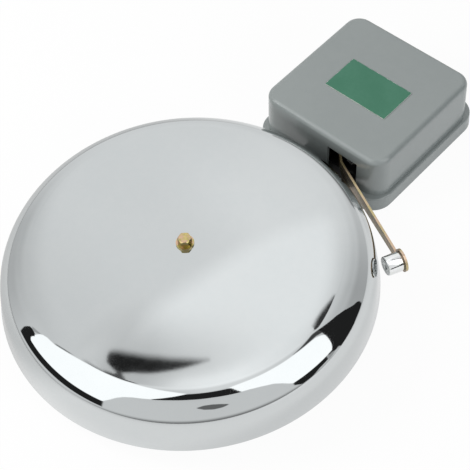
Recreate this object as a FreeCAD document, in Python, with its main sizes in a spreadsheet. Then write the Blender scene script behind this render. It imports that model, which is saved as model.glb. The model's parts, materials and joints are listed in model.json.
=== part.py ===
import FreeCAD, Part
import os
import re
import Sketcher
from math import asin, cos, degrees, pi, radians, sin, tan
from FreeCAD import Placement, Rotation, Vector

# An electric wall bell: a gong on a central post, a grey box beside it, and in the box an
# electromagnet whose armature carries the striker arm out through a window in the cover.
# Millimetres and degrees. The back of the base is the plane z = 0, the gong's axis is the Z
# axis, +Y runs from the gong to the box, and +X is the side that the striker reaches round.

SIZES = {
    # gong
    "gong_radius": 125,
    "gong_rim_height": 13.6,
    "gong_side_height": 15.9,
    "gong_side_taper": 8.85,
    "gong_shoulder_radius": 24,
    "gong_dome_radius": 1055,
    "gong_wall": 1.6,
    "gong_hole_radius": 2.8,
    # base casting
    "base_height": 10.7,
    "base_draft": 3,
    "base_corner_radius": 16.4,
    "base_edge_radius": 1.2,
    "base_floor": 3,
    "base_skirt": 3,
    "base_ledge_side": 3.2,
    "base_ledge_end": 5.95,
    "base_arm_width": 40,
    "base_arm_height": 8,
    "base_arm_wall": 3,
    "boss_radius": 22,
    "boss_skin": 2.5,
    "screw_boss_radius": 4.5,
    "screw_hole_floor": 2,
    "wall_boss_radius": 6,
    "wall_hole_radius": 2.4,
    "wall_screw_side": 13.38,
    "wall_screw_back": 11.78,
    "arm_screw_near": 40,
    "arm_screw_spacing": 60,
    # cover
    "cover_gap": 7.04,
    "cover_shift": -0.53,
    "cover_width": 106.76,
    "cover_depth": 107.78,
    "cover_height": 33.6,
    "cover_draft": 1.5,
    "cover_corner_radius": 12.6,
    "cover_edge_radius": 3.95,
    "cover_wall": 2.2,
    "spigot_height": 3.5,
    "spigot_wall": 2,
    "spigot_clearance": 0.3,
    "window_start": 7.7,
    "window_end": 33.4,
    "window_height": 23,
    "window_margin": 3,
    "label_width": 52,
    "label_depth": 31.2,
    "label_thickness": 0.6,
    "label_corner_radius": 0.8,
    "label_shift_x": 1.74,
    "label_shift_y": -1.72,
    # gong fixing
    "post_radius": 6,
    "post_collar_radius": 9,
    "post_collar_height": 4,
    "stud_radius": 4,
    "stud_clearance": 0.1,
    "seat_washer_radius": 11,
    "seat_washer_thickness": 1.5,
    "seat_gap": 0.05,
    "bolt_radius": 2.5,
    "bolt_length": 14,
    "bolt_across_flats": 8,
    "bolt_head_height": 3.5,
    "bolt_turn": 42.2,
    "bolt_crown": 0.3,
    "bolt_hole_depth": 20,
    "flat_washer_radius": 5.9,
    "flat_washer_thickness": 1,
    "spring_washer_radius": 4.6,
    "spring_washer_thickness": 1.2,
    "spring_washer_gap": 0.8,
    "washer_clearance": 0.2,
    # frame plate and its bracket
    "frame_thickness": 2,
    "frame_corner_radius": 3,
    "frame_left": 46.5,
    "frame_right": 44.5,
    "frame_front": 6,
    "frame_length": 68,
    "frame_screw_left": 41,
    "frame_screw_left_y": 23,
    "frame_screw_right": 37.5,
    "frame_screw_right_y": 10.5,
    "frame_screw_back": 9,
    "frame_screw_back_y": 69,
    "bracket_width": 12,
    "bracket_reach": 14,
    # pivot
    "pivot_x": 18.5,
    "pivot_y": 16,
    "pin_radius": 2,
    "pin_running_clearance": 0.05,
    "pin_seat_clearance": 0.02,
    "pin_top": 31,
    "spacer_radius": 3.6,
    "spacer_clearance": 0.15,
    "ear_gap": 0.2,
    "clip_radius": 4,
    "clip_thickness": 0.7,
    # armature and carrier
    "carrier_thickness": 2,
    "carrier_low": 6.5,
    "carrier_high": 25.8,
    "web_y": 19.5,
    "web_left": 34.5,
    "web_right": 9.5,
    "tail_right": 20.8,
    "tail_half_height": 4,
    "ear_half_width": 6,
    "ear_front": 5.5,
    "armature_left": 62.5,
    "armature_right": 19,
    "armature_thickness": 4,
    "armature_half_height": 7,
    "rivet_radius": 1.5,
    "rivet_head_radius": 2.6,
    "rivet_head_height": 1,
    "rivet_clearance": 0.05,
    "rivet_edge": 2.7,
    # magnet
    "magnet_height": 16.3,
    "pole_gap": 1.3,
    "pole_radius": 6.5,
    "pole_thickness": 3,
    "core_radius": 4.5,
    "core_spacing": 27,
    "core_left": 55,
    "core_length": 33,
    "yoke_thickness": 4,
    "yoke_half_width": 9.5,
    "yoke_height": 26.5,
    "yoke_foot": 10,
    "bobbin_radius": 12,
    "bobbin_flange": 1.5,
    "bobbin_wall": 1,
    "bobbin_clearance": 0.2,
    "winding_radius": 10.8,
    "core_screw_radius": 2.5,
    "core_screw_length": 12,
    "core_screw_head_radius": 4.5,
    "core_screw_head_height": 3.2,
    # screws into the floor and the frame plate
    "floor_screw_radius": 2,
    "floor_screw_length": 7.5,
    "floor_screw_head_radius": 3.6,
    "floor_screw_head_height": 2.4,
    "bracket_screw_grip": 1.6,
    "thread_clearance": 0.1,
    "slot_width": 0.9,
    "slot_depth": 1.1,
    # contact breaker
    "contact_x": 53.5,
    "contact_spring_thickness": 0.4,
    "contact_spring_half_height": 4,
    "contact_spring_lift": 2.1,
    "contact_spring_root": 16,
    "contact_spring_ramp": 4,
    "contact_spring_tip": 4.5,
    "contact_rivet_radius": 2,
    "contact_rivet_height": 1,
    "contact_gap": 0.15,
    "contact_post_width": 8,
    "contact_post_depth": 6.5,
    "contact_post_front": 8.5,
    "contact_post_height": 19.5,
    "contact_foot_length": 23.5,
    "contact_foot_depth": 8,
    "contact_foot_thickness": 2,
    "insulator_thickness": 1,
    "insulator_margin": 1.5,
    "contact_screw_radius": 2,
    "contact_tip_radius": 1.25,
    "contact_tip_length": 1,
    "contact_knob_radius": 4.2,
    "contact_knob_height": 2.4,
    "contact_knob_front": 3.8,
    "lock_nut_across_flats": 7,
    "lock_nut_height": 1.6,
    "small_screw_radius": 1.5,
    "small_screw_head_radius": 2.8,
    "small_screw_head_height": 1.8,
    # return spring
    "spring_x": 38,
    "spring_wire_radius": 0.4,
    "spring_coil_radius": 3,
    "spring_hook_radius": 3.15,
    "spring_pitch": 1.1,
    "spring_turns": 16,
    "spring_lead": 4.7,
    "eye_radius": 2.4,
    "eye_wire_radius": 0.7,
    "eye_shank_radius": 1.5,
    "eye_shank_length": 10,
    "anchor_half_width": 5,
    "anchor_thickness": 1.5,
    "anchor_y": 54.5,
    "anchor_foot": 13,
    "anchor_height": 21.3,
    "adjuster_across_flats": 5.5,
    "adjuster_nut_height": 2.4,
    # striker
    "strike_angle": 40.46,
    "strike_gap": 2.3,
    "strike_height": 16.8,
    "striker_x": 21.3,
    "striker_y": 0.92,
    "striker_thickness": 1.6,
    "striker_top": 16.3,
    "striker_root_low": 7.3,
    "striker_neck_low": 3.1,
    "striker_knee_low": 3.9,
    "striker_waist_low": 7.5,
    "striker_tip_low": 9.3,
    "striker_neck": 1.5,
    "striker_knee": 27,
    "striker_waist": 29.5,
    "striker_tip": 16,
    "striker_bend_radius": 2,
    "striker_bend": 1.5,
    "striker_root_length": 13.5,
    "lug_radius": 7.9,
    "hammer_radius": 6.6,
    "hammer_length": 11.3,
    "hammer_chamfer": 0.8,
    "hammer_spot_radius": 1.3,
    "hammer_spot_depth": 0.6,
    "hammer_rivet_radius": 2,
    "hammer_rivet_depth": 6,
    "hammer_rivet_head_radius": 3.4,
    "hammer_rivet_head_height": 1.2,
    # terminals, cable entry and leads
    "terminal_x": 8,
    "terminal_back": 15.78,
    "terminal_width": 27,
    "terminal_depth": 14,
    "terminal_height": 13,
    "terminal_pitch": 16.8,
    "terminal_port_height": 2.6,
    "terminal_step": 4.5,
    "terminal_screw_grip": 4.5,
    "terminal_insert_width": 7,
    "terminal_insert_height": 7.5,
    "terminal_wall": 1.6,
    "terminal_port_radius": 1.8,
    "terminal_screw_length": 4.6,
    "terminal_screw_head_height": 1.6,
    "earth_x": 31,
    "earth_back": 23.78,
    "earth_washer_radius": 5,
    "earth_washer_thickness": 1,
    "grommet_x": 24,
    "grommet_back": 20.78,
    "grommet_radius": 6.5,
    "grommet_lip": 2,
    "grommet_lip_thickness": 1.6,
    "grommet_bore_radius": 3.6,
    "lead_radius": 0.7,
}

doc = FreeCAD.newDocument("ElectricBell")
sheet = doc.addObject("Spreadsheet::Sheet", "Sizes")
for row, (alias, number) in enumerate(SIZES.items(), start=1):
    sheet.set(f"A{row}", str(number))
    sheet.setAlias(f"A{row}", alias)
doc.recompute()

# Turns that send an item's own Z along an axis.
TURNS = {
    "x": Rotation(Vector(0, 1, 0), 90),
    "-x": Rotation(Vector(0, 1, 0), -90),
    "y": Rotation(Vector(1, 0, 0), -90),
    "-y": Rotation(Vector(1, 0, 0), 90),
    "z": Rotation(),
    "-z": Rotation(Vector(1, 0, 0), 180),
}
OPPOSITE = {"x": "-x", "-x": "x", "y": "-y", "-y": "y", "z": "-z", "-z": "z"}

# Places that many pieces share, as formulas of the sheet's aliases.
FRONT = "(gong_radius + cover_gap)"
MIDDLE = f"({FRONT} + cover_depth/2)"
BACK = f"({FRONT} + cover_depth)"
FLOOR = "base_height"
TAPER_RUN = "gong_side_height*tan(gong_side_taper)"
SHOULDER_X = f"(gong_radius - {TAPER_RUN} - gong_shoulder_radius*cos(gong_side_taper))"
SHOULDER_Z = "(gong_rim_height + gong_side_height - gong_shoulder_radius*sin(gong_side_taper))"
DOME_SPAN = "(gong_dome_radius - gong_shoulder_radius)"
DOME_Z = f"({SHOULDER_Z} - sqrt({DOME_SPAN}^2 - {SHOULDER_X}^2))"
GONG_TOP = f"({DOME_Z} + gong_dome_radius)"
GONG_SEAT = f"({DOME_Z} + sqrt((gong_dome_radius - gong_wall)^2 - seat_washer_radius^2) - seat_gap)"
FRAME_TOP = "(base_height + frame_thickness)"
PIVOT_X = "(cover_shift + pivot_x)"
PIVOT_Y = f"({FRONT} + pivot_y)"
WEB_FRONT = f"({FRONT} + web_y)"
WEB_BACK = f"({WEB_FRONT} + carrier_thickness)"
ARMATURE_BACK = f"({WEB_BACK} + armature_thickness)"
POLE_FACE = f"({ARMATURE_BACK} + pole_gap)"
YOKE_FRONT = f"({POLE_FACE} + core_length)"
YOKE_BACK = f"({YOKE_FRONT} + yoke_thickness)"
MAGNET_Z = f"({FLOOR} + magnet_height)"
CORE_LEFT = f"({PIVOT_X} - core_left)"
CORE_RIGHT = f"({CORE_LEFT} + core_spacing)"
CARRIER_LOW = f"({FLOOR} + carrier_low)"
CARRIER_HIGH = f"({FLOOR} + carrier_high)"
PIN_TOP = f"({FLOOR} + pin_top)"


def formula(text):
    """The formula with the sheet's name before each alias."""
    return re.sub("[a-z][a-z_]*", lambda word: "Sizes." * (word[0] in SIZES) + word[0], text)


def value(text):
    """The number that a formula gives at the sheet's present sizes."""
    result = sheet.evalExpression(formula(str(text)))
    return float(getattr(result, "Value", result))


def bind(item, **sizes):
    for name, text in sizes.items():
        item.setExpression(name, formula(text))
    return item


def place(item, x="0", y="0", z="0", along="z", turned=None):
    """Put an item's own origin at (x, y, z), its own Z along an axis or itself turned about Z."""
    rotation = TURNS[along] if turned is None else Rotation(Vector(0, 0, 1), value(turned))
    item.Placement = Placement(Vector(value(x), value(y), value(z)), rotation)
    for axis, text in zip("xyz", (x, y, z)):
        item.setExpression("Placement.Base." + axis, formula(text))
    if turned is not None:
        item.setExpression("Placement.Rotation.Angle", formula(turned))
    return item


def new(kind, name="Item"):
    return doc.addObject(kind, name)


def box(x, y, z):
    """A box between two formulas on each axis."""
    item = new("Part::Box")
    for side, (low, high) in zip(("Length", "Width", "Height"), (x, y, z)):
        item.setExpression(side, formula(f"({high}) - ({low})"))
    return place(item, x[0], y[0], z[0])


def rod(radius, length, x="0", y="0", z="0", along="z"):
    item = bind(new("Part::Cylinder"), Radius=radius, Height=length)
    return place(item, x, y, z, along)


def cut(base, *tools):
    for tool in tools:
        item = new("Part::Cut")
        item.Base, item.Tool = base, tool
        base = item
    return base


def join(*items):
    item = new("Part::MultiFuse")
    item.Shapes = list(items)
    return item


def group(items):
    """Separate solids of one kind as one object."""
    item = new("Part::Compound")
    item.Links = list(items)
    return item


def tube(outer, inner, length, x="0", y="0", z="0", along="z"):
    """A rod with a hole through it; the hole's rod starts and ends past both faces."""
    hole = rod(inner, length, x, y, z, along)
    return cut(rod(outer, length, x, y, z, along), hole)


def hex_prism(across_flats, height, x, y, z, along):
    item = bind(new("Part::Prism"), Circumradius=f"{across_flats}/2/cos(30)", Height=height)
    item.Polygon = 6
    return place(item, x, y, z, along)


def screw(radius, length, head_radius, head_height, x, y, z, along):
    """A slotted cheese-head screw: its head's seat at (x, y, z), its shank along an axis."""
    up = OPPOSITE[along]
    head = rod(head_radius, head_height, x, y, z, up)
    shank = rod(radius, length, x, y, z, along)
    sign = "-" if up.startswith("-") else "+"
    axis = up[-1]
    place_of = {"x": x, "y": y, "z": z}
    reach = {}
    for name, at in place_of.items():
        reach[name] = (f"{at} - {head_radius} - 1", f"{at} + {head_radius} + 1")
    across = {"x": "y", "y": "z", "z": "x"}[axis]
    reach[across] = (f"{place_of[across]} - slot_width/2", f"{place_of[across]} + slot_width/2")
    floor = f"{place_of[axis]} {sign} ({head_height} - slot_depth)"
    crown = f"{place_of[axis]} {sign} ({head_height} + 1)"
    reach[axis] = (floor, crown) if sign == "+" else (crown, floor)
    return cut(join(head, shank), box(reach["x"], reach["y"], reach["z"]))


def floor_screw(length, x, y, seat):
    """A downward screw of the size used in the base's floor and in the frame plate."""
    return screw("floor_screw_radius", length, "floor_screw_head_radius", "floor_screw_head_height",
                 x, y, seat, "-z")


def new_body():
    return new("PartDesign::Body", "Body")


def sketch(body, role, offset="0"):
    """A sketch on one of the body's origin planes, moved along the plane's normal."""
    item = body.newObject("Sketcher::SketchObject", "Sketch")
    plane = [feature for feature in body.Origin.OriginFeatures if feature.Role == role][0]
    item.AttachmentSupport = (plane, [""])
    item.MapMode = "FlatFace"
    item.setExpression("AttachmentOffset.Base.z", formula(offset))
    return item


def fix(item, kind, *where):
    """A dimensional constraint; its last argument is a formula."""
    index = item.addConstraint(Sketcher.Constraint(kind, *where[:-1], value(where[-1])))
    item.setExpression(f"Constraints[{index}]", formula(where[-1]))


def pin_point(item, line, end, x, y):
    """Hold a point of a sketch at (x, y)."""
    for kind, text, axis in (("DistanceX", x, -2), ("DistanceY", y, -1)):
        if text == "0":
            item.addConstraint(Sketcher.Constraint("PointOnObject", line, end, axis))
        else:
            fix(item, kind, -1, 1, line, end, text)


def outline(item, corners):
    """A closed outline of straight lines through corners given as formulas."""
    points = [Vector(value(x), value(y), 0) for x, y in corners]
    first = len(item.Geometry)
    count = len(points)
    for start, end in zip(points, points[1:] + points[:1]):
        item.addGeometry(Part.LineSegment(start, end), False)
    for index in range(count):
        following = first + (index + 1) % count
        item.addConstraint(Sketcher.Constraint("Coincident", first + index, 2, following, 1))
    for index, (x, y) in enumerate(corners):
        pin_point(item, first + index, 1, x, y)
    return item


def circle(item, x, y, radius):
    centre = Vector(value(x), value(y), 0)
    index = item.addGeometry(Part.Circle(centre, Vector(0, 0, 1), value(radius)), False)
    pin_point(item, index, 3, x, y)
    fix(item, "Radius", index, radius)
    return item


def rounded_rectangle(item, left, right, low, high, radius):
    """A rectangle with round corners: four lines joined by four tangent arcs."""
    x0, x1, y0, y1, r = (value(text) for text in (left, right, low, high, radius))
    first = len(item.Geometry)
    lines = [((x0 + r, y0), (x1 - r, y0)), ((x1, y0 + r), (x1, y1 - r)),
             ((x1 - r, y1), (x0 + r, y1)), ((x0, y1 - r), (x0, y0 + r))]
    centres = [(x1 - r, y0 + r), (x1 - r, y1 - r), (x0 + r, y1 - r), (x0 + r, y0 + r)]
    quarter = pi / 2
    for side, (line, centre) in enumerate(zip(lines, centres)):
        item.addGeometry(Part.LineSegment(Vector(*line[0], 0), Vector(*line[1], 0)), False)
        round_corner = Part.Circle(Vector(*centre, 0), Vector(0, 0, 1), r)
        start = quarter * (side - 1)
        item.addGeometry(Part.ArcOfCircle(round_corner, start, start + quarter), False)
    for side in range(4):
        line, arc, following = (first + 2 * side + step for step in (0, 1, 2))
        if side == 3:
            following = first
        item.addConstraint(Sketcher.Constraint("Tangent", line, 2, arc, 1))
        item.addConstraint(Sketcher.Constraint("Tangent", arc, 2, following, 1))
        item.addConstraint(Sketcher.Constraint("Vertical" if side % 2 else "Horizontal", line))
        if side:
            item.addConstraint(Sketcher.Constraint("Equal", first + 1, arc))
    fix(item, "Radius", first + 1, radius)
    for kind, line, text in (("DistanceY", 0, low), ("DistanceX", 2, right),
                             ("DistanceY", 4, high), ("DistanceX", 6, left)):
        fix(item, kind, -1, 1, first + line, 1, text)
    return item


def feature(body, kind, profile, sizes, grows, **settings):
    """A PartDesign feature of a sketch, checked to add or to take away material."""
    before = body.Shape.Volume if body.Tip else 0
    item = body.newObject("PartDesign::" + kind, kind)
    item.Profile = profile
    for name, setting in settings.items():
        setattr(item, name, setting)
    bind(item, **sizes)
    doc.recompute()
    change = body.Shape.Volume - before
    if change == 0 or (change > 0) != grows:
        raise RuntimeError(f"{kind} on {profile.Name} changes the volume by {change:.3f}")
    return item


def pad(body, profile, length, taper="0"):
    return feature(body, "Pad", profile, {"Length": length, "TaperAngle": taper}, True)


def pocket(body, profile, depth, upward=False, taper="0"):
    sizes = {"Length": depth, "TaperAngle": taper}
    return feature(body, "Pocket", profile, sizes, False, Reversed=upward)


def spin(body, profile, grows=True):
    """A full turn about the sketch's own vertical axis."""
    kind = "Revolution" if grows else "Groove"
    return feature(body, kind, profile, {}, grows, ReferenceAxis=(profile, ["V_Axis"]), Angle=360)


def fillet(body, radius, wanted):
    """Round the edges of the body that a test picks."""
    doc.recompute()
    base = body.Tip
    names = [f"Edge{number}" for number, edge in enumerate(base.Shape.Edges, start=1) if wanted(edge)]
    if not names:
        raise RuntimeError(f"no edge to round on {body.Label}")
    item = body.newObject("PartDesign::Fillet", "Fillet")
    item.Base = (base, names)
    bind(item, Radius=radius)
    doc.recompute()
    return item


def at_height(height):
    """A test for edges that lie at one height."""
    level = value(height)
    return lambda edge: max(abs(edge.BoundBox.ZMin - level), abs(edge.BoundBox.ZMax - level)) < 1e-4


def upright(edge):
    return edge.BoundBox.XLength < 1e-4 and edge.BoundBox.YLength < 1e-4


def turned_body(corners):
    """A solid of revolution about Z, from half its section as (radius, height) corners."""
    body = new_body()
    spin(body, outline(sketch(body, "XZ_Plane"), corners))
    return body


PIECES = []


def piece(label, item):
    """Name a finished sub-part, which becomes one node."""
    item.Label = label
    PIECES.append(item)
    return item


# ---------------------------------------------------------------- gong and its fixing


def gong_section(profile):
    """Half the gong's wall: rim, tapered side, shoulder arc and dome arc, outside and inside."""
    wall, taper = "gong_wall", "gong_side_taper"
    side_top = "gong_rim_height + gong_side_height"
    rim_inside = f"gong_radius - {wall}/cos({taper})"
    inner_side_top = f"{SHOULDER_Z} + (gong_shoulder_radius - {wall})*sin({taper})"
    shells = []
    for inset in ("0", wall):
        shoulder = f"(gong_shoulder_radius - {inset})"
        dome = f"(gong_dome_radius - {inset})"
        join_x = f"{dome}*{SHOULDER_X}/{DOME_SPAN}"
        shells.append((shoulder, dome, join_x))
    arcs = []
    for shoulder, dome, join_x in shells:
        start, end = radians(value(taper)), pi / 2 - asin(value(SHOULDER_X) / value(DOME_SPAN))
        centre = Vector(value(SHOULDER_X), value(SHOULDER_Z), 0)
        arcs.append(Part.ArcOfCircle(Part.Circle(centre, Vector(0, 0, 1), value(shoulder)), start, end))
        centre = Vector(0, value(DOME_Z), 0)
        crown = pi / 2 - asin(value("gong_hole_radius") / value(dome))
        arcs.append(Part.ArcOfCircle(Part.Circle(centre, Vector(0, 0, 1), value(dome)), end, crown))
    rim_out = Vector(value("gong_radius"), value("gong_rim_height"), 0)
    rim_in = Vector(value(rim_inside), value("gong_rim_height"), 0)
    side_out, side_in = arcs[0].StartPoint, arcs[2].StartPoint
    hole_out, hole_in = arcs[1].EndPoint, arcs[3].EndPoint
    for geometry in (Part.LineSegment(rim_out, side_out), arcs[0], arcs[1],
                     Part.LineSegment(hole_out, hole_in), arcs[3], arcs[2],
                     Part.LineSegment(side_in, rim_in), Part.LineSegment(rim_in, rim_out)):
        profile.addGeometry(geometry, False)
    for joint in ((0, 2, 1, 1), (1, 2, 2, 1), (2, 2, 3, 1), (3, 2, 4, 2), (4, 1, 5, 2),
                  (5, 1, 6, 1), (6, 2, 7, 1), (7, 2, 0, 1)):
        profile.addConstraint(Sketcher.Constraint("Coincident", *joint))
    for arc, (shoulder, dome, join_x), top in ((1, shells[0], side_top), (5, shells[1], inner_side_top)):
        pin_point(profile, arc, 3, SHOULDER_X, SHOULDER_Z)
        fix(profile, "Radius", arc, shoulder)
        fix(profile, "DistanceY", -1, 1, arc, 1, top)
        fix(profile, "DistanceX", -1, 1, arc, 2, join_x)
    for arc, (shoulder, dome, join_x) in ((2, shells[0]), (4, shells[1])):
        profile.addConstraint(Sketcher.Constraint("PointOnObject", arc, 3, -2))
        fix(profile, "Radius", arc, dome)
        fix(profile, "DistanceX", -1, 1, arc, 2, "gong_hole_radius")
    pin_point(profile, 0, 1, "gong_radius", "gong_rim_height")
    pin_point(profile, 7, 1, rim_inside, "gong_rim_height")
    return profile


def make_gong():
    body = new_body()
    spin(body, gong_section(sketch(body, "XZ_Plane")))
    piece("gong", body)


def make_gong_post():
    """The post's stud screws into the base's boss; its top takes the gong's bolt."""
    top = f"({GONG_SEAT} - seat_washer_thickness)"
    bore = "(bolt_radius + thread_clearance)"
    body = turned_body([
        ("0", "boss_skin + 0.5"), ("stud_radius", "boss_skin + 0.5"), ("stud_radius", FLOOR),
        ("post_collar_radius", FLOOR), ("post_collar_radius", f"{FLOOR} + post_collar_height"),
        ("post_radius", f"{FLOOR} + post_collar_height"), ("post_radius", f"{top} - post_collar_height"),
        ("post_collar_radius", f"{top} - post_collar_height/2"), ("post_collar_radius", top),
        (bore, top), (bore, f"{top} - bolt_hole_depth"), ("0", f"{top} - bolt_hole_depth")])
    piece("gong_post", body)
    washer = tube("seat_washer_radius", "gong_hole_radius", "seat_washer_thickness", z=top)
    piece("gong_seat_washer", washer)


def make_gong_bolt():
    washer_hole = "bolt_radius + washer_clearance"
    seat = f"({GONG_TOP} + flat_washer_thickness)"
    head = f"({seat} + spring_washer_thickness)"
    washer = tube("flat_washer_radius", washer_hole, "flat_washer_thickness", z=GONG_TOP)
    piece("gong_flat_washer", washer)
    ring = tube("spring_washer_radius", washer_hole, "spring_washer_thickness", z=seat)
    split = box(("0", "spring_washer_radius + 1"), ("0 - spring_washer_gap/2", "spring_washer_gap/2"),
                (f"{seat} - 1", f"{head} + 1"))
    piece("gong_spring_washer", cut(ring, split))
    prism = hex_prism("bolt_across_flats", "bolt_head_height", "0", "0", head, "z")
    place(prism, z=head, turned="bolt_turn")
    cone = bind(new("Part::Cone"), Radius1="bolt_across_flats/2 - bolt_crown + bolt_head_height*2",
                Radius2="bolt_across_flats/2 - bolt_crown", Height="bolt_head_height")
    place(cone, z=head)
    crown = new("Part::Common")
    crown.Base, crown.Tool = prism, cone
    shank = rod("bolt_radius", "bolt_length", z=f"{head} - bolt_length")
    piece("gong_bolt", join(crown, shank))


# ---------------------------------------------------------------- base and cover


def cover_edges(inset):
    """The cover's foot, moved inwards, as left, right, low, high and corner radius."""
    return (f"cover_shift - cover_width/2 + ({inset})", f"cover_shift + cover_width/2 - ({inset})",
            f"{FRONT} + ({inset})", f"{FRONT} + cover_depth - ({inset})", f"cover_corner_radius - ({inset})")


def base_edges(inset):
    """The base's foot, moved inwards."""
    side, end = f"(cover_width/2 + base_ledge_side - {inset})", f"(base_ledge_end - {inset})"
    return (f"cover_shift - {side}", f"cover_shift + {side}", f"{FRONT} - {end}",
            f"{FRONT} + cover_depth + {end}", f"base_corner_radius - {inset}")


WALL_SCREWS_BACK = [(f"cover_shift {sign} (cover_width/2 - wall_screw_side)", f"{BACK} - wall_screw_back")
                    for sign in "-+"]
WALL_SCREWS_ARM = [("0", "arm_screw_near"), ("0", "arm_screw_near + arm_screw_spacing")]
FRAME_SCREWS = [
    ("cover_shift - frame_screw_left", f"{FRONT} + frame_screw_left_y"),
    ("cover_shift + frame_screw_right", f"{FRONT} + frame_screw_right_y"),
    ("cover_shift + frame_screw_back", f"{FRONT} + frame_screw_back_y")]
EARTH = ("cover_shift + earth_x", f"{BACK} - earth_back")
TERMINAL = ("cover_shift + terminal_x", f"{BACK} - terminal_back")
GROMMET = ("cover_shift - grommet_x", f"{BACK} - grommet_back")


def make_base():
    """One casting: a pan behind the box and a hollow arm to the boss that holds the gong's post."""
    body = new_body()
    pad(body, rounded_rectangle(sketch(body, "XY_Plane"), *base_edges("0")), FLOOR, "0 - base_draft")
    fillet(body, "base_edge_radius", at_height(FLOOR))
    front = base_edges("0")[2]
    arm = [("0 - base_arm_width/2", "0"), ("base_arm_width/2", "0"),
           ("base_arm_width/2", f"{FRONT}"), ("0 - base_arm_width/2", f"{FRONT}")]
    pad(body, outline(sketch(body, "XY_Plane"), arm), "base_arm_height")
    pad(body, circle(sketch(body, "XY_Plane"), "0", "0", "boss_radius"), FLOOR)
    floor_under = "base_height - base_floor"
    pocket(body, rounded_rectangle(sketch(body, "XY_Plane"), *base_edges("base_skirt")), floor_under, True)
    inner = "(base_arm_width/2 - base_arm_wall)"
    channel = [(f"0 - {inner}", "boss_radius + 2"), (inner, "boss_radius + 2"),
               (inner, f"{front} + base_skirt + 1"), (f"0 - {inner}", f"{front} + base_skirt + 1")]
    pocket(body, outline(sketch(body, "XY_Plane"), channel), "base_arm_height - base_floor", True)
    bosses = sketch(body, "XY_Plane")
    for x, y in WALL_SCREWS_BACK:
        circle(bosses, x, y, "wall_boss_radius")
    pad(body, bosses, floor_under + " + 0.1")
    bosses = sketch(body, "XY_Plane")
    for x, y in WALL_SCREWS_ARM:
        circle(bosses, x, y, "wall_boss_radius")
    pad(body, bosses, "base_arm_height - base_floor + 0.1")
    holes = sketch(body, "XY_Plane", FLOOR)
    for x, y in WALL_SCREWS_BACK + WALL_SCREWS_ARM:
        circle(holes, x, y, "wall_hole_radius")
    pocket(body, holes, FLOOR)
    bosses = sketch(body, "XY_Plane")
    for x, y in FRAME_SCREWS + [EARTH, TERMINAL]:
        circle(bosses, x, y, "screw_boss_radius")
    pad(body, bosses, floor_under + " + 0.1")
    holes = sketch(body, "XY_Plane", FLOOR)
    for x, y in FRAME_SCREWS + [EARTH, TERMINAL]:
        circle(holes, x, y, "floor_screw_radius + thread_clearance")
    pocket(body, holes, "base_height - screw_hole_floor")
    post_hole = circle(sketch(body, "XY_Plane", FLOOR), "0", "0", "stud_radius + stud_clearance")
    pocket(body, post_hole, "base_height - boss_skin")
    pocket(body, circle(sketch(body, "XY_Plane", FLOOR), *GROMMET, "grommet_radius"), FLOOR)
    rim = sketch(body, "XY_Plane", FLOOR)
    rounded_rectangle(rim, *cover_edges("cover_wall + spigot_clearance"))
    rounded_rectangle(rim, *cover_edges("cover_wall + spigot_clearance + spigot_wall"))
    pad(body, rim, "spigot_height")
    sides = "cover_shift + window_start - window_margin", "cover_shift + window_end + window_margin"
    gap = [(side, FRONT) for side in sides]
    gap += [(side, f"{FRONT} + cover_corner_radius") for side in reversed(sides)]
    pocket(body, outline(sketch(body, "XY_Plane", f"{FLOOR} + spigot_height"), gap), "spigot_height")
    piece("base_plate", body)


def make_grommet():
    """A rubber ring in the hole where the cable comes through the floor from the wall."""
    bore, lip, edge = "grommet_bore_radius", "grommet_lip_thickness", "grommet_radius + grommet_lip"
    under = "(base_height - base_floor)"
    body = turned_body([
        (bore, f"{under} - {lip}"), (edge, f"{under} - {lip}"), (edge, under), ("grommet_radius", under),
        ("grommet_radius", FLOOR), (edge, FLOOR), (edge, f"{FLOOR} + {lip}"), (bore, f"{FLOOR} + {lip}")])
    piece("cable_grommet", place(body, *GROMMET))


def make_cover():
    """The grey pressed box, open below, with the striker's window in the wall that faces the gong."""
    body = new_body()
    pad(body, rounded_rectangle(sketch(body, "XY_Plane", FLOOR), *cover_edges("0")), "cover_height",
        "0 - cover_draft")
    fillet(body, "cover_edge_radius", at_height(f"{FLOOR} + cover_height"))
    inside = rounded_rectangle(sketch(body, "XY_Plane", FLOOR), *cover_edges("cover_wall"))
    pocket(body, inside, "cover_height - cover_wall", True, "0 - cover_draft")
    fillet(body, "cover_edge_radius - cover_wall", at_height(f"{FLOOR} + cover_height - cover_wall"))
    window = box(("cover_shift + window_start", "cover_shift + window_end"),
                 (f"{FRONT} - 1", f"{FRONT} + cover_wall + 3"), (f"{FLOOR} - 1", f"{FLOOR} + window_height"))
    piece("mechanism_cover", cut(body, window))
    plate = new_body()
    half_x, half_y = "label_width/2", "label_depth/2"
    edges = ("0 - " + half_x, half_x, "0 - " + half_y, half_y, "label_corner_radius")
    pad(plate, rounded_rectangle(sketch(plate, "XY_Plane"), *edges), "label_thickness")
    place(plate, "cover_shift + label_shift_x", f"{MIDDLE} + label_shift_y", f"{FLOOR} + cover_height")
    piece("nameplate_label", plate)


# ---------------------------------------------------------------- frame, pivot and magnet


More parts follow.
